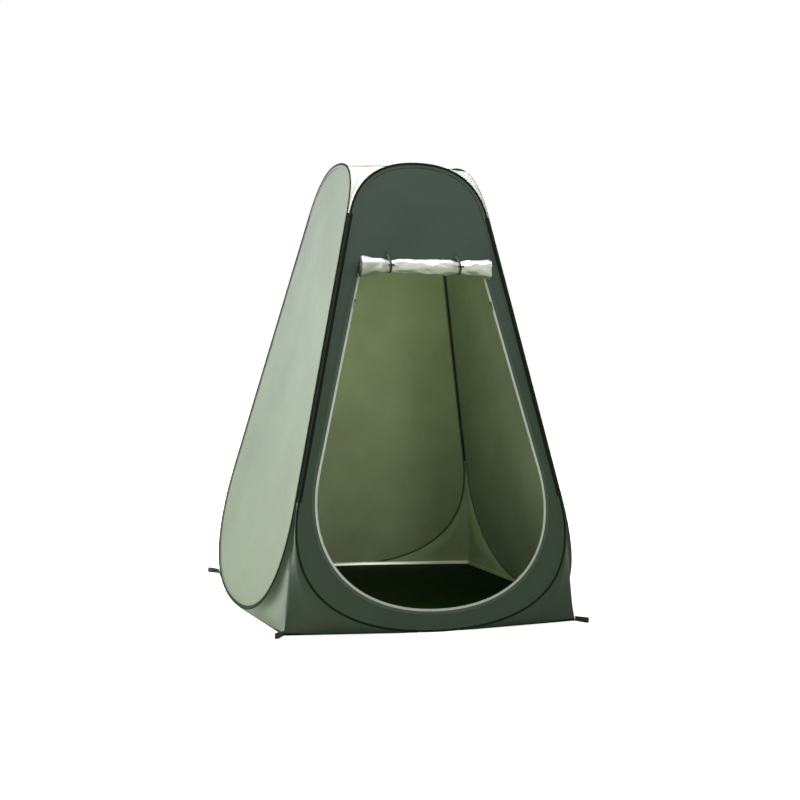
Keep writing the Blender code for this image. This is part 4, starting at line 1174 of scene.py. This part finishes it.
def roll_surface():
    """The door flap from its sewn top down behind the roll, round it and inwards as a spiral."""
    crumple = bpy.context.scene.tent_cloth.crumple
    columns = ROLL_LEAD + round(ROLL_TURNS * ROLL_STEPS)
    hem_level = CLOTH_THICKNESS / 2 + ROLL_GAP

    def place(s, t):
        step = round(s * columns)
        turn = max(0, step - ROLL_LEAD) / ROLL_STEPS
        x = (2 * t - 1) * (ROLL_HALF_LENGTH - ROLL_END_ROOM)
        loose_end = smooth((abs(x) - FLARE_START) / LOOSE_REACH)
        radius = roll_radius(x)
        droop = ROLL_DROP + FLARE_DROOP * max(0, radius - ROLL_RADIUS)
        droop += MIDDLE_DROOP * smooth(1 - abs(x) / TIE_PLACE)
        centre = Vector((hem_level + radius, ROLL_TOP - ROLL_RADIUS - droop))
        if step < ROLL_LEAD:
            share = step / ROLL_LEAD
            low = centre.y + radius / 2
            height = FLAP_HEM_TOP + (low - FLAP_HEM_TOP) * share
            x *= FLAP_TOP_SHARE + (1 - FLAP_TOP_SHARE) * share
            return Vector((x, height, EDGE_OFFSET + hem_level)), (x, -0.01 * (ROLL_LEAD - step))
        angle = math.pi + 2 * math.pi * turn
        fold = crumple * roll_fold(x, angle, turn % 1, loose_end)
        reach = radius * (1 - ROLL_PITCH * turn / ROLL_RADIUS)
        reach += fold * reach / radius
        spot = centre + Vector((math.cos(angle), math.sin(angle))) * reach
        out = max(spot.x, hem_level + ROLL_REST)
        x += math.copysign(ROLL_SHIFT * wave(turn * 0.9, 3.3 if t > 0.5 else 8.1, 0) * loose_end, x)
        return Vector((x, spot.y, EDGE_OFFSET + out)), (x, turn * 0.1)

    return cloth_grid(columns, ROLL_COLUMNS, place)


def tie_line():
    """The line of a tie, as (outwards, up): sewn above the roll, over its front, under it and inside."""
    radius = roll_radius(TIE_PLACE + TIE_WIDTH / 2)
    centre = Vector((CLOTH_THICKNESS / 2 + ROLL_CLOTH + radius, ROLL_TOP - ROLL_RADIUS - ROLL_DROP))
    reach = radius + ROLL_CLOTH / 2 + TIE_THICKNESS / 2 + TIE_ROOM
    outside = CLOTH_THICKNESS / 2 + SEWN_GAP + TIE_THICKNESS / 2
    patch_low = Vector((outside, TIE_PATCH_LOW))
    towards = patch_low - centre
    start = math.atan2(towards.y, towards.x) - math.acos(min(1, reach / towards.length))
    points = [Vector((outside, TIE_TOP)), patch_low]
    for step in range(TIE_STEPS + 1):
        angle = start + (TIE_END - start) * step / TIE_STEPS
        points.append(centre + reach * Vector((math.cos(angle), math.sin(angle))))
    points += [Vector((-outside, points[-1].y + TIE_TURN_UP)), Vector((-outside, TIE_INNER_TOP))]
    return Line(points), centre, reach


def strap_surface(line, x_middle):
    """A tie along a line of (outwards, up) points, gathered where it leaves the wall."""

    def place(s, t):
        point = line.share(t)
        gathered = 1 - TIE_NARROWS * smooth(point.x / TIE_GATHERED)
        x = x_middle + (s - 0.5) * TIE_WIDTH * gathered
        return Vector((x, point.y, EDGE_OFFSET + point.x)), (s * TIE_WIDTH, t * line.length)

    return cloth_grid(*TIE_GRID, place)


def toggle_mesh():
    """A toggle along X: two domed ends and a waist, turned about its length."""
    half = TOGGLE_LENGTH / 2
    profile = [
        (0, 0), (0, TOGGLE_RADIUS * 0.6), (0.0008, TOGGLE_RADIUS * 0.85), (0.0025, TOGGLE_RADIUS),
        (0.0070, TOGGLE_RADIUS), (0.0090, TOGGLE_WAIST), (half, TOGGLE_WAIST),
    ]
    profile += [(TOGGLE_LENGTH - a, b) for a, b in reversed(profile[:-1])]
    bm = bmesh.new()
    made = [bm.verts.new((a - half, b, 0)) for a, b in profile]
    edges = [bm.edges.new(pair) for pair in zip(made, made[1:])]
    bmesh.ops.spin(
        bm, geom=made + edges, angle=2 * math.pi, steps=20, use_merge=True, axis=(1, 0, 0), cent=(0, 0, 0)
    )
    return bm


def tooth_mesh():
    """One tooth of the zip, with soft edges."""
    bm = bmesh.new()
    bmesh.ops.create_cube(bm, size=1.0)
    length = TEETH_PITCH * TOOTH_SHARE
    bmesh.ops.scale(bm, vec=(length, TEETH_WIDTH, TEETH_THICKNESS), verts=bm.verts)
    soften(bm, TOOTH_EDGE, 1)
    bmesh.ops.translate(bm, verts=bm.verts, vec=(length / 2, 0, 0))
    return made_mesh("tooth", bm)


def peg_line():
    """The line of a webbing loop seen from above, away from its corner and back."""
    side = PEG_WEBBING_THICKNESS / 2 + PEG_LAYER_ROOM
    nose = PEG_LOOP_LENGTH - PEG_LOOP_HALF_WIDTH
    inner = PEG_LOOP_HALF_WIDTH - PEG_WEBBING_THICKNESS / 2
    there = [Vector((PEG_LOOP_GAP, -side))]
    for step in range(PEG_SIDE_STEPS + 1):
        share = step / PEG_SIDE_STEPS
        x = PEG_LOOP_GAP + PEG_SEWN + (nose - PEG_NOSE_ROOM) * share
        there.append(Vector((x, -side - (inner - side) * smooth(share))))
    round_nose = []
    for step in range(1, PEG_NOSE_STEPS):
        angle = -math.pi / 2 + math.pi * step / PEG_NOSE_STEPS
        round_nose.append(Vector((nose + inner * math.cos(angle), inner * math.sin(angle))))
    back = [Vector((point.x, -point.y)) for point in reversed(there)]
    return Line(there + round_nose + back)


def bend_over(piece):
    """Keeps a corner piece where it is, with its placement put into its own mesh."""
    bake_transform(piece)


def squash_with_fold(piece):
    """Hangs the roof or the floor from the front wall's body, and gives it a mesh of its own."""
    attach(piece, "front_wall")
    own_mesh(piece)


def squash_to_wall(piece, wall):
    """Hangs a loose half of a gusset from its own wall's body, and gives it a mesh of its own."""
    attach(piece, BODIES[wall])
    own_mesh(piece)


def paint(node, finish):
    """Gives a solid of the frame a finish in place of its own."""
    node.data.materials.clear()
    node.data.materials.append(finish)


class TENT_OT_walls(bpy.types.Operator):
    """Make the four wall cloths"""

    bl_idname = "tent.walls"
    bl_label = "Wall Cloths"

    def execute(self, context):
        looks = finishes()
        for wall in TURNS:
            front = wall == "front"
            bm = (front_wall if front else closed_wall)(WALL_SEEDS[wall])
            piece = add_piece(
                f"{wall}_wall_panel", bm, wall_sides(looks, wall), wall_frame(wall),
                [f"{wall}_wall_cloth"],
            )
            give_thickness(piece, CLOTH_THICKNESS, 1)
            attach(piece, BODIES[wall])
        return {"FINISHED"}


class TENT_OT_sleeves(bpy.types.Operator):
    """Make the sleeves round the hoops, with their stitching"""

    bl_idname = "tent.sleeves"
    bl_label = "Sleeves"

    def execute(self, context):
        looks = finishes()
        whole = 2 * HOOP.length
        from_hoop = SLEEVE_RADIUS + SLEEVE_LIP - LIP_HEM
        line = [hoop_place(whole * step / STITCH_STEPS, from_hoop) for step in range(STITCH_STEPS)]
        for wall in TURNS:
            colours = [looks["tape"], *wall_sides(looks, wall), looks["inner_tape"]]
            piece = add_piece(
                f"{wall}_edge_sleeve", sleeve_mesh(wall), colours, wall_frame(wall),
                [f"{wall}_sleeve"], turn_out="closed",
            )
            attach(piece, BODIES[wall])
            for side, lift in (("outer", EDGE_OFFSET + LIP_OUTER), ("inner", EDGE_OFFSET - LIP_OUTER)):
                name = f"{wall}_sleeve_stitches_{side}"
                seam = add_stitching(name, line, True, lift, wall, looks["thread"])
                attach(seam, BODIES[wall])
        return {"FINISHED"}


class TENT_OT_piping(bpy.types.Operator):
    """Make the piping in the four corner seams"""

    bl_idname = "tent.piping"
    bl_label = "Corner Piping"

    def execute(self, context):
        tape = finishes()["tape"]
        for corner, wall, side in SEAMS:

            def place(s, t):
                u = LOWER_SPLIT + (UPPER_SPLIT - LOWER_SPLIT) * t
                half = FOOT_OFFSET - SIN_LEAN * u
                angle = 2 * math.pi * s
                reach = PIPING_RADIUS * (1 + 0.09 * wave(u * 60, math.cos(angle), math.sin(angle)))
                point = Vector((side * half + reach * math.cos(angle), u, reach * math.sin(angle)))
                return point, (s * 2 * math.pi * PIPING_RADIUS, u)

            bm = cloth_grid(*PIPING_GRID, place)
            bmesh.ops.remove_doubles(bm, verts=bm.verts, dist=TINY)
            bmesh.ops.holes_fill(bm, edges=[edge for edge in bm.edges if edge.is_boundary])
            piece = add_piece(
                f"corner_piping_{corner}", bm, [tape], wall_frame(wall),
                [f"seam_cord_{corner}"], turn_out="closed",
            )
            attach(piece, BODIES[wall])
        return {"FINISHED"}


class TENT_OT_gussets(bpy.types.Operator):
    """Make the creased gussets of the corners, and the tape on their hems"""

    bl_idname = "tent.gussets"
    bl_label = "Corner Gussets"

    def execute(self, context):
        looks = finishes()
        for corner, first, second in CORNERS:
            halves = [("", WHOLE, None)]
            if corner == "back_right":
                halves = [("_side", (0.0, 0.5), first), ("_rear", (0.5, 1.0), second)]
            for level in GUSSET_CUTS:
                lower = level == "lower"
                colours = [looks["outer"], looks["inner"]] if lower else [looks["roof"]] * 2
                for half, part, wall in halves:
                    name = corner + half
                    bm = gusset_surface(level, first, second, GUSSET_SEEDS[corner], part)
                    piece = add_piece(
                        f"{level}_corner_{name}", bm, colours, None, [f"{level}_gusset_{name}"]
                    )
                    give_thickness(piece, CLOTH_THICKNESS, 1)
                    pieces = [piece]
                    if lower:
                        bm = hem_surface(first, second, part)
                        hem = add_piece(f"hem_tape_{name}", bm, [looks["tape"]])
                        give_thickness(hem, HEM_TAPE_THICKNESS)
                        pieces.append(hem)
                    for item in pieces:
                        if wall and not lower:
                            squash_to_wall(item, wall)
                        elif wall:
                            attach(item, BODIES[wall])
                        else:
                            bend_over(item)
        return {"FINISHED"}


class TENT_OT_roof(bpy.types.Operator):
    """Make the roof and its binding"""

    bl_idname = "tent.roof"
    bl_label = "Roof"

    def execute(self, context):
        looks = finishes()
        corners = roof_corners()
        reach = max(corner.x for corner in corners)
        bm = flat_grid(reach, ROOF_COUNT)
        cut_to(bm, corners)
        for vertex in bm.verts:
            edge = 1 - max(abs(vertex.co.x), abs(vertex.co.y)) / reach
            slanted = (abs(vertex.co.x) + abs(vertex.co.y)) / (corners[0].length * 1.35)
            hold = smooth(min(edge / 0.5, max(0, 1.05 - slanted) / 0.4))
            drawn = wave(vertex.co.x * 9, vertex.co.y * 9, 4.4) * ROOF_WAVE
            vertex.co.z = ROOF_LEVEL + CLOTH_THICKNESS / 2 - hold * (ROOF_SAG + drawn)
        piece = add_piece("roof_panel", bm, [looks["roof"]], None, ["roof_cloth"])
        give_thickness(piece, CLOTH_THICKNESS)
        width, thick = ROOF_BINDING_WIDTH, ROOF_BINDING_THICKNESS
        section = [(0, 0), (width, 0), (width, thick), (0, thick)]
        bm = strip_round(corners, section, ROOF_LEVEL + CLOTH_THICKNESS + ROOF_BINDING_GAP)
        soften(bm, ROOF_BINDING_EDGE)
        binding = add_piece(
            "roof_binding", bm, [looks["tape"]], None, ["roof_edge_tape"], turn_out="closed"
        )
        for item in (piece, binding):
            squash_with_fold(item)
        return {"FINISHED"}


class TENT_OT_floor(bpy.types.Operator):
    """Make the groundsheet and the bound rim round it"""

    bl_idname = "tent.floor"
    bl_label = "Floor"

    def execute(self, context):
        looks = finishes()
        reach = FOOT_OFFSET - FLOOR_INSET
        ends = [(-FLOOR_HALF_FLAT, -reach), (FLOOR_HALF_FLAT, -reach), (HEM_HALF_WIDTH, -HEM_HALF_WIDTH)]
        bm = flat_grid(reach, FLOOR_COUNT)
        cut_to(bm, quarter_turns(ends))
        for vertex in bm.verts:
            x, y = vertex.co.x, vertex.co.y
            hold = smooth((1 - max(abs(x), abs(y)) / FLOOR_WAVE_REACH) / 0.25)
            lift = 0.5 + 0.5 * wave(x * 4, y * 4, 1.7) + 0.25 * wave(x * 13, y * 11, 6.1)
            vertex.co.z = FLOOR_LEVEL + hold * max(0, lift) * FLOOR_WAVE
        piece = add_piece("floor_sheet", bm, [looks["floor"]], None, ["groundsheet"])
        give_thickness(piece, FLOOR_THICKNESS)
        low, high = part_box("groundsheet_upstand")
        half_flat = beside_sleeve(slope_at(HEM_LIFT)).x
        corner = HEM_HALF_WIDTH - RIM_CORNER_INSET
        outline = quarter_turns([(-half_flat, -high.y), (half_flat, -high.y), (corner, -corner)])
        section = [(0, 0), (RIM_THICKNESS + RIM_SPREAD, 0), (RIM_THICKNESS, RIM_HEIGHT), (0, RIM_HEIGHT)]
        bm = strip_round(outline, section, low.z)
        soften(bm, RIM_EDGE)
        rim = add_piece(
            "floor_rim", bm, [looks["rim"]], None, ["groundsheet_upstand"], turn_out="closed"
        )
        for item in (piece, rim):
            squash_with_fold(item)
        return {"FINISHED"}


class TENT_OT_zip(bpy.types.Operator):
    """Make the zip's tape and teeth round the doorway"""

    bl_idname = "tent.zip"
    bl_label = "Zip"

    def execute(self, context):
        looks = finishes()
        here = wall_frame("front")
        half = [DOOR.at(DOOR.length * step / ZIP_STEPS) for step in range(ZIP_STEPS + 1)]
        half = [point for point in half if point.y < DOOR_TOP - ZIP_TOP_GAP]
        whole = Line(mirrored(half)[:-1] + half)
        face = EDGE_OFFSET + CLOTH_THICKNESS / 2 + SEWN_GAP

        def place(s, t):
            along = t * whole.length
            across = s * (ZIP_FREE + ZIP_ON_CLOTH)
            point = whole.beside(along, ZIP_FREE - across)
            level = face + ZIP_TAPE_THICKNESS / 2 + ZIP_RIPPLE * wave(along * 40, s * 2, 2.2)
            return Vector((point.x, point.y, level)), (across, along)

        def beside(inset):
            marks = [whole.length * step / GUIDE_STEPS for step in range(GUIDE_STEPS + 1)]
            return [whole.beside(mark, inset) for mark in marks]

        bm = cloth_grid(*ZIP_GRID, place)
        tape = add_piece("door_zip_tape", bm, [looks["zip_tape"]], here, ["zip_tape"])
        give_thickness(tape, ZIP_TAPE_THICKNESS)
        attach(tape, "front_wall")

        line = beside(ZIP_FREE + TEETH_WIDTH / 2 - TEETH_LAP)
        bm = copies_along("teeth", tooth_mesh(), line, TEETH_PITCH, False, face + ZIP_TAPE_THICKNESS / 2)
        teeth = add_piece(
            "door_zip_teeth", bm, [looks["teeth"]], here, ["zip_teeth"], merge=False
        )
        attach(teeth, "front_wall")

        lift = face + ZIP_TAPE_THICKNESS
        for side, inset in ZIP_STITCHES.items():
            name = f"door_zip_stitches_{side}"
            seam = add_stitching(name, beside(-inset), False, lift, "front", looks["thread"])
            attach(seam, "front_wall")
        for side in ("left", "right"):
            for node in (f"zip_slider_{side}", f"zip_pull_{side}"):
                paint(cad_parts[node], looks["metal"])
        return {"FINISHED"}


class TENT_OT_door(bpy.types.Operator):
    """Make the rolled door, its ties and their toggles"""

    bl_idname = "tent.door"
    bl_label = "Rolled Door"

    def execute(self, context):
        looks = finishes()
        here = wall_frame("front")
        roll = add_piece(
            "rolled_door", roll_surface(), [looks["lining"], looks["outer"]], here,
            ["door_roll"], turn_out="flip", angle=70,
        )
        give_thickness(roll, ROLL_CLOTH, 1, 1)
        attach(roll, "front_wall")
        line, centre, reach = tie_line()
        level = EDGE_OFFSET + centre.x + reach + TIE_THICKNESS / 2 + TOGGLE_GAP + TOGGLE_RADIUS
        for side, x in (("left", -TIE_PLACE), ("right", TIE_PLACE)):
            bm = strap_surface(line, x)
            tie = add_piece(f"roll_tie_{side}", bm, [looks["tie"]], here, [f"tie_band_{side}"])
            give_thickness(tie, TIE_THICKNESS)
            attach(tie, "front_wall")
            place = here @ Matrix.Translation((x, centre.y, level))
            toggle = add_piece(
                f"roll_toggle_{side}", toggle_mesh(), [looks["toggle"]], place,
                [f"tie_toggle_{side}"], turn_out="closed", angle=35,
            )
            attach(toggle, f"{side}_tie_toggle")
        return {"FINISHED"}


class TENT_OT_peg_loops(bpy.types.Operator):
    """Make the webbing loops on the hem's corners"""

    bl_idname = "tent.peg_loops"
    bl_label = "Peg Loops"

    def execute(self, context):
        webbing = finishes()["webbing"]
        line = peg_line()

        def place(s, t):
            point = line.share(t)
            rise = s * PEG_WEBBING_HEIGHT
            return Vector((point.x, point.y, PEG_LOOP_LIFT + rise)), (rise, t * line.length)

        for corner, side_x, side_y in PEGS:
            turn = Matrix.Rotation(math.atan2(side_y, side_x), 4, "Z")
            matrix = Matrix.Translation((side_x * HEM_HALF_WIDTH, side_y * HEM_HALF_WIDTH, 0)) @ turn
            bm = cloth_grid(*PEG_GRID, place)
            loop = add_piece(
                f"webbing_loop_{corner}", bm, [webbing], matrix, [f"peg_loop_{corner}"]
            )
            give_thickness(loop, PEG_WEBBING_THICKNESS)
            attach(loop, f"{corner}_peg_loop")
        return {"FINISHED"}


class TENT_OT_hoops(bpy.types.Operator):
    """Give the steel hoops inside the sleeves their finish"""

    bl_idname = "tent.hoops"
    bl_label = "Hoops"

    def execute(self, context):
        steel = finishes()["steel"]
        for wall in TURNS:
            paint(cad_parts[f"{wall}_hoop_wire"], steel)
            paint(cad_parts[f"{wall}_hoop_ferrule"], steel)
        return {"FINISHED"}


def add_area(name, place, target, size, power, tint):
    """A large soft light that looks at a point."""
    data = bpy.data.lights.new(name, "AREA")
    data.shape = "DISK"
    data.size = size
    data.energy = power
    data.color = tint
    made = bpy.data.objects.new(name, data)
    made.location = place
    made.rotation_euler = (Vector(target) - Vector(place)).to_track_quat("-Z", "Y").to_euler()
    bpy.context.scene.collection.objects.link(made)


def add_ground(scene, glow):
    """A wide pale floor, lifted towards white in the picture and not in the light that it throws."""
    bm = bmesh.new()
    bmesh.ops.create_grid(bm, x_segments=1, y_segments=1, size=GROUND_HALF)
    mesh = made_mesh("stage_floor", bm)
    finish, tree, shader = new_finish("Stage floor", scene.tent_colours.ground, 0.9, specular=0.1)
    shader.inputs["Emission Color"].default_value = WHITE
    seen = tree.nodes.new("ShaderNodeLightPath").outputs["Is Camera Ray"]
    feed(tree, shader.inputs["Emission Strength"], add_math(tree, "MULTIPLY", seen, glow))
    mesh.materials.append(finish)
    ground = bpy.data.objects.new("stage_floor", mesh)
    scene.collection.objects.link(ground)


def add_sky(scene, strength):
    """White surroundings that give less light than they show."""
    world = bpy.data.worlds.new("Studio")
    world.use_nodes = True
    tree = world.node_tree
    sky = tree.nodes["Background"]
    sky.inputs["Color"].default_value = WHITE
    seen = tree.nodes.new("ShaderNodeLightPath").outputs["Is Camera Ray"]
    shown = add_math(tree, "ADD", add_math(tree, "MULTIPLY", seen, 1 - strength), strength)
    feed(tree, sky.inputs["Strength"], shown)
    scene.world = world


def add_camera(scene, stage):
    """The camera at the photographer's place."""
    data = bpy.data.cameras.new("Camera")
    data.sensor_width = 36.0
    data.lens = stage.lens
    camera = bpy.data.objects.new("Camera", data)
    scene.collection.objects.link(camera)
    aim = Matrix.Rotation(-stage.yaw, 4, "Z") @ Matrix.Rotation(math.pi / 2 + stage.pitch, 4, "X")
    aim = aim @ Matrix.Rotation(stage.roll, 4, "Z")
    camera.matrix_world = Matrix.Translation(stage.camera_place) @ aim
    scene.camera = camera


class TENT_OT_stage(bpy.types.Operator):
    """Make the floor, the lights and the camera"""

    bl_idname = "tent.stage"
    bl_label = "Stage"

    def execute(self, context):
        scene = context.scene
        stage = scene.tent_stage
        add_ground(scene, stage.ground_glow)
        add_sky(scene, stage.sky)
        add_area("Key", (-4.8, 2.6, 2.4), (-0.4, 0.0, 0.7), 3.6, stage.key, (1.0, 0.98, 0.88))
        add_area("Top", (0.1, -0.5, 4.2), (0, -0.2, 1.6), 1.0, stage.top, (1.0, 1.0, 0.96))
        add_area("Fill", (1.2, -6.4, 1.9), (-0.2, 0.2, 1.1), 1.6, stage.fill, (1.0, 1.0, 0.98))
        add_camera(scene, stage)
        scene.view_settings.view_transform = "Standard"
        return {"FINISHED"}


class TENT_PT_panel(bpy.types.Panel):
    """The tent's pieces, colours and stage"""

    bl_label = "Privacy Tent"
    bl_idname = "TENT_PT_panel"
    bl_space_type = "VIEW_3D"
    bl_region_type = "UI"
    bl_category = "Tent"

    def draw(self, context):
        scene = context.scene
        for operator in OPERATORS:
            self.layout.operator(operator.bl_idname)
        for group in (scene.tent_cloth, scene.tent_colours, scene.tent_stage):
            box = self.layout.box()
            for name in group.__annotations__:
                box.prop(group, name)


OPERATORS = (
    TENT_OT_walls, TENT_OT_sleeves, TENT_OT_piping, TENT_OT_gussets, TENT_OT_roof, TENT_OT_floor,
    TENT_OT_zip, TENT_OT_door, TENT_OT_peg_loops, TENT_OT_hoops, TENT_OT_stage,
)
CLASSES = (TentCloth, TentColours, TentStage, *OPERATORS, TENT_PT_panel)


def register():
    for item in CLASSES:
        bpy.utils.register_class(item)
    bpy.types.Scene.tent_cloth = PointerProperty(type=TentCloth)
    bpy.types.Scene.tent_colours = PointerProperty(type=TentColours)
    bpy.types.Scene.tent_stage = PointerProperty(type=TentStage)


def unregister():
    del bpy.types.Scene.tent_stage
    del bpy.types.Scene.tent_colours
    del bpy.types.Scene.tent_cloth
    for item in reversed(CLASSES):
        bpy.utils.unregister_class(item)


def main():
    register()
    bpy.ops.tent.walls()
    bpy.ops.tent.sleeves()
    bpy.ops.tent.piping()
    bpy.ops.tent.gussets()
    bpy.ops.tent.roof()
    bpy.ops.tent.floor()
    bpy.ops.tent.zip()
    bpy.ops.tent.door()
    bpy.ops.tent.peg_loops()
    bpy.ops.tent.hoops()
    bpy.ops.tent.stage()


if __name__ == "__main__":
    main()
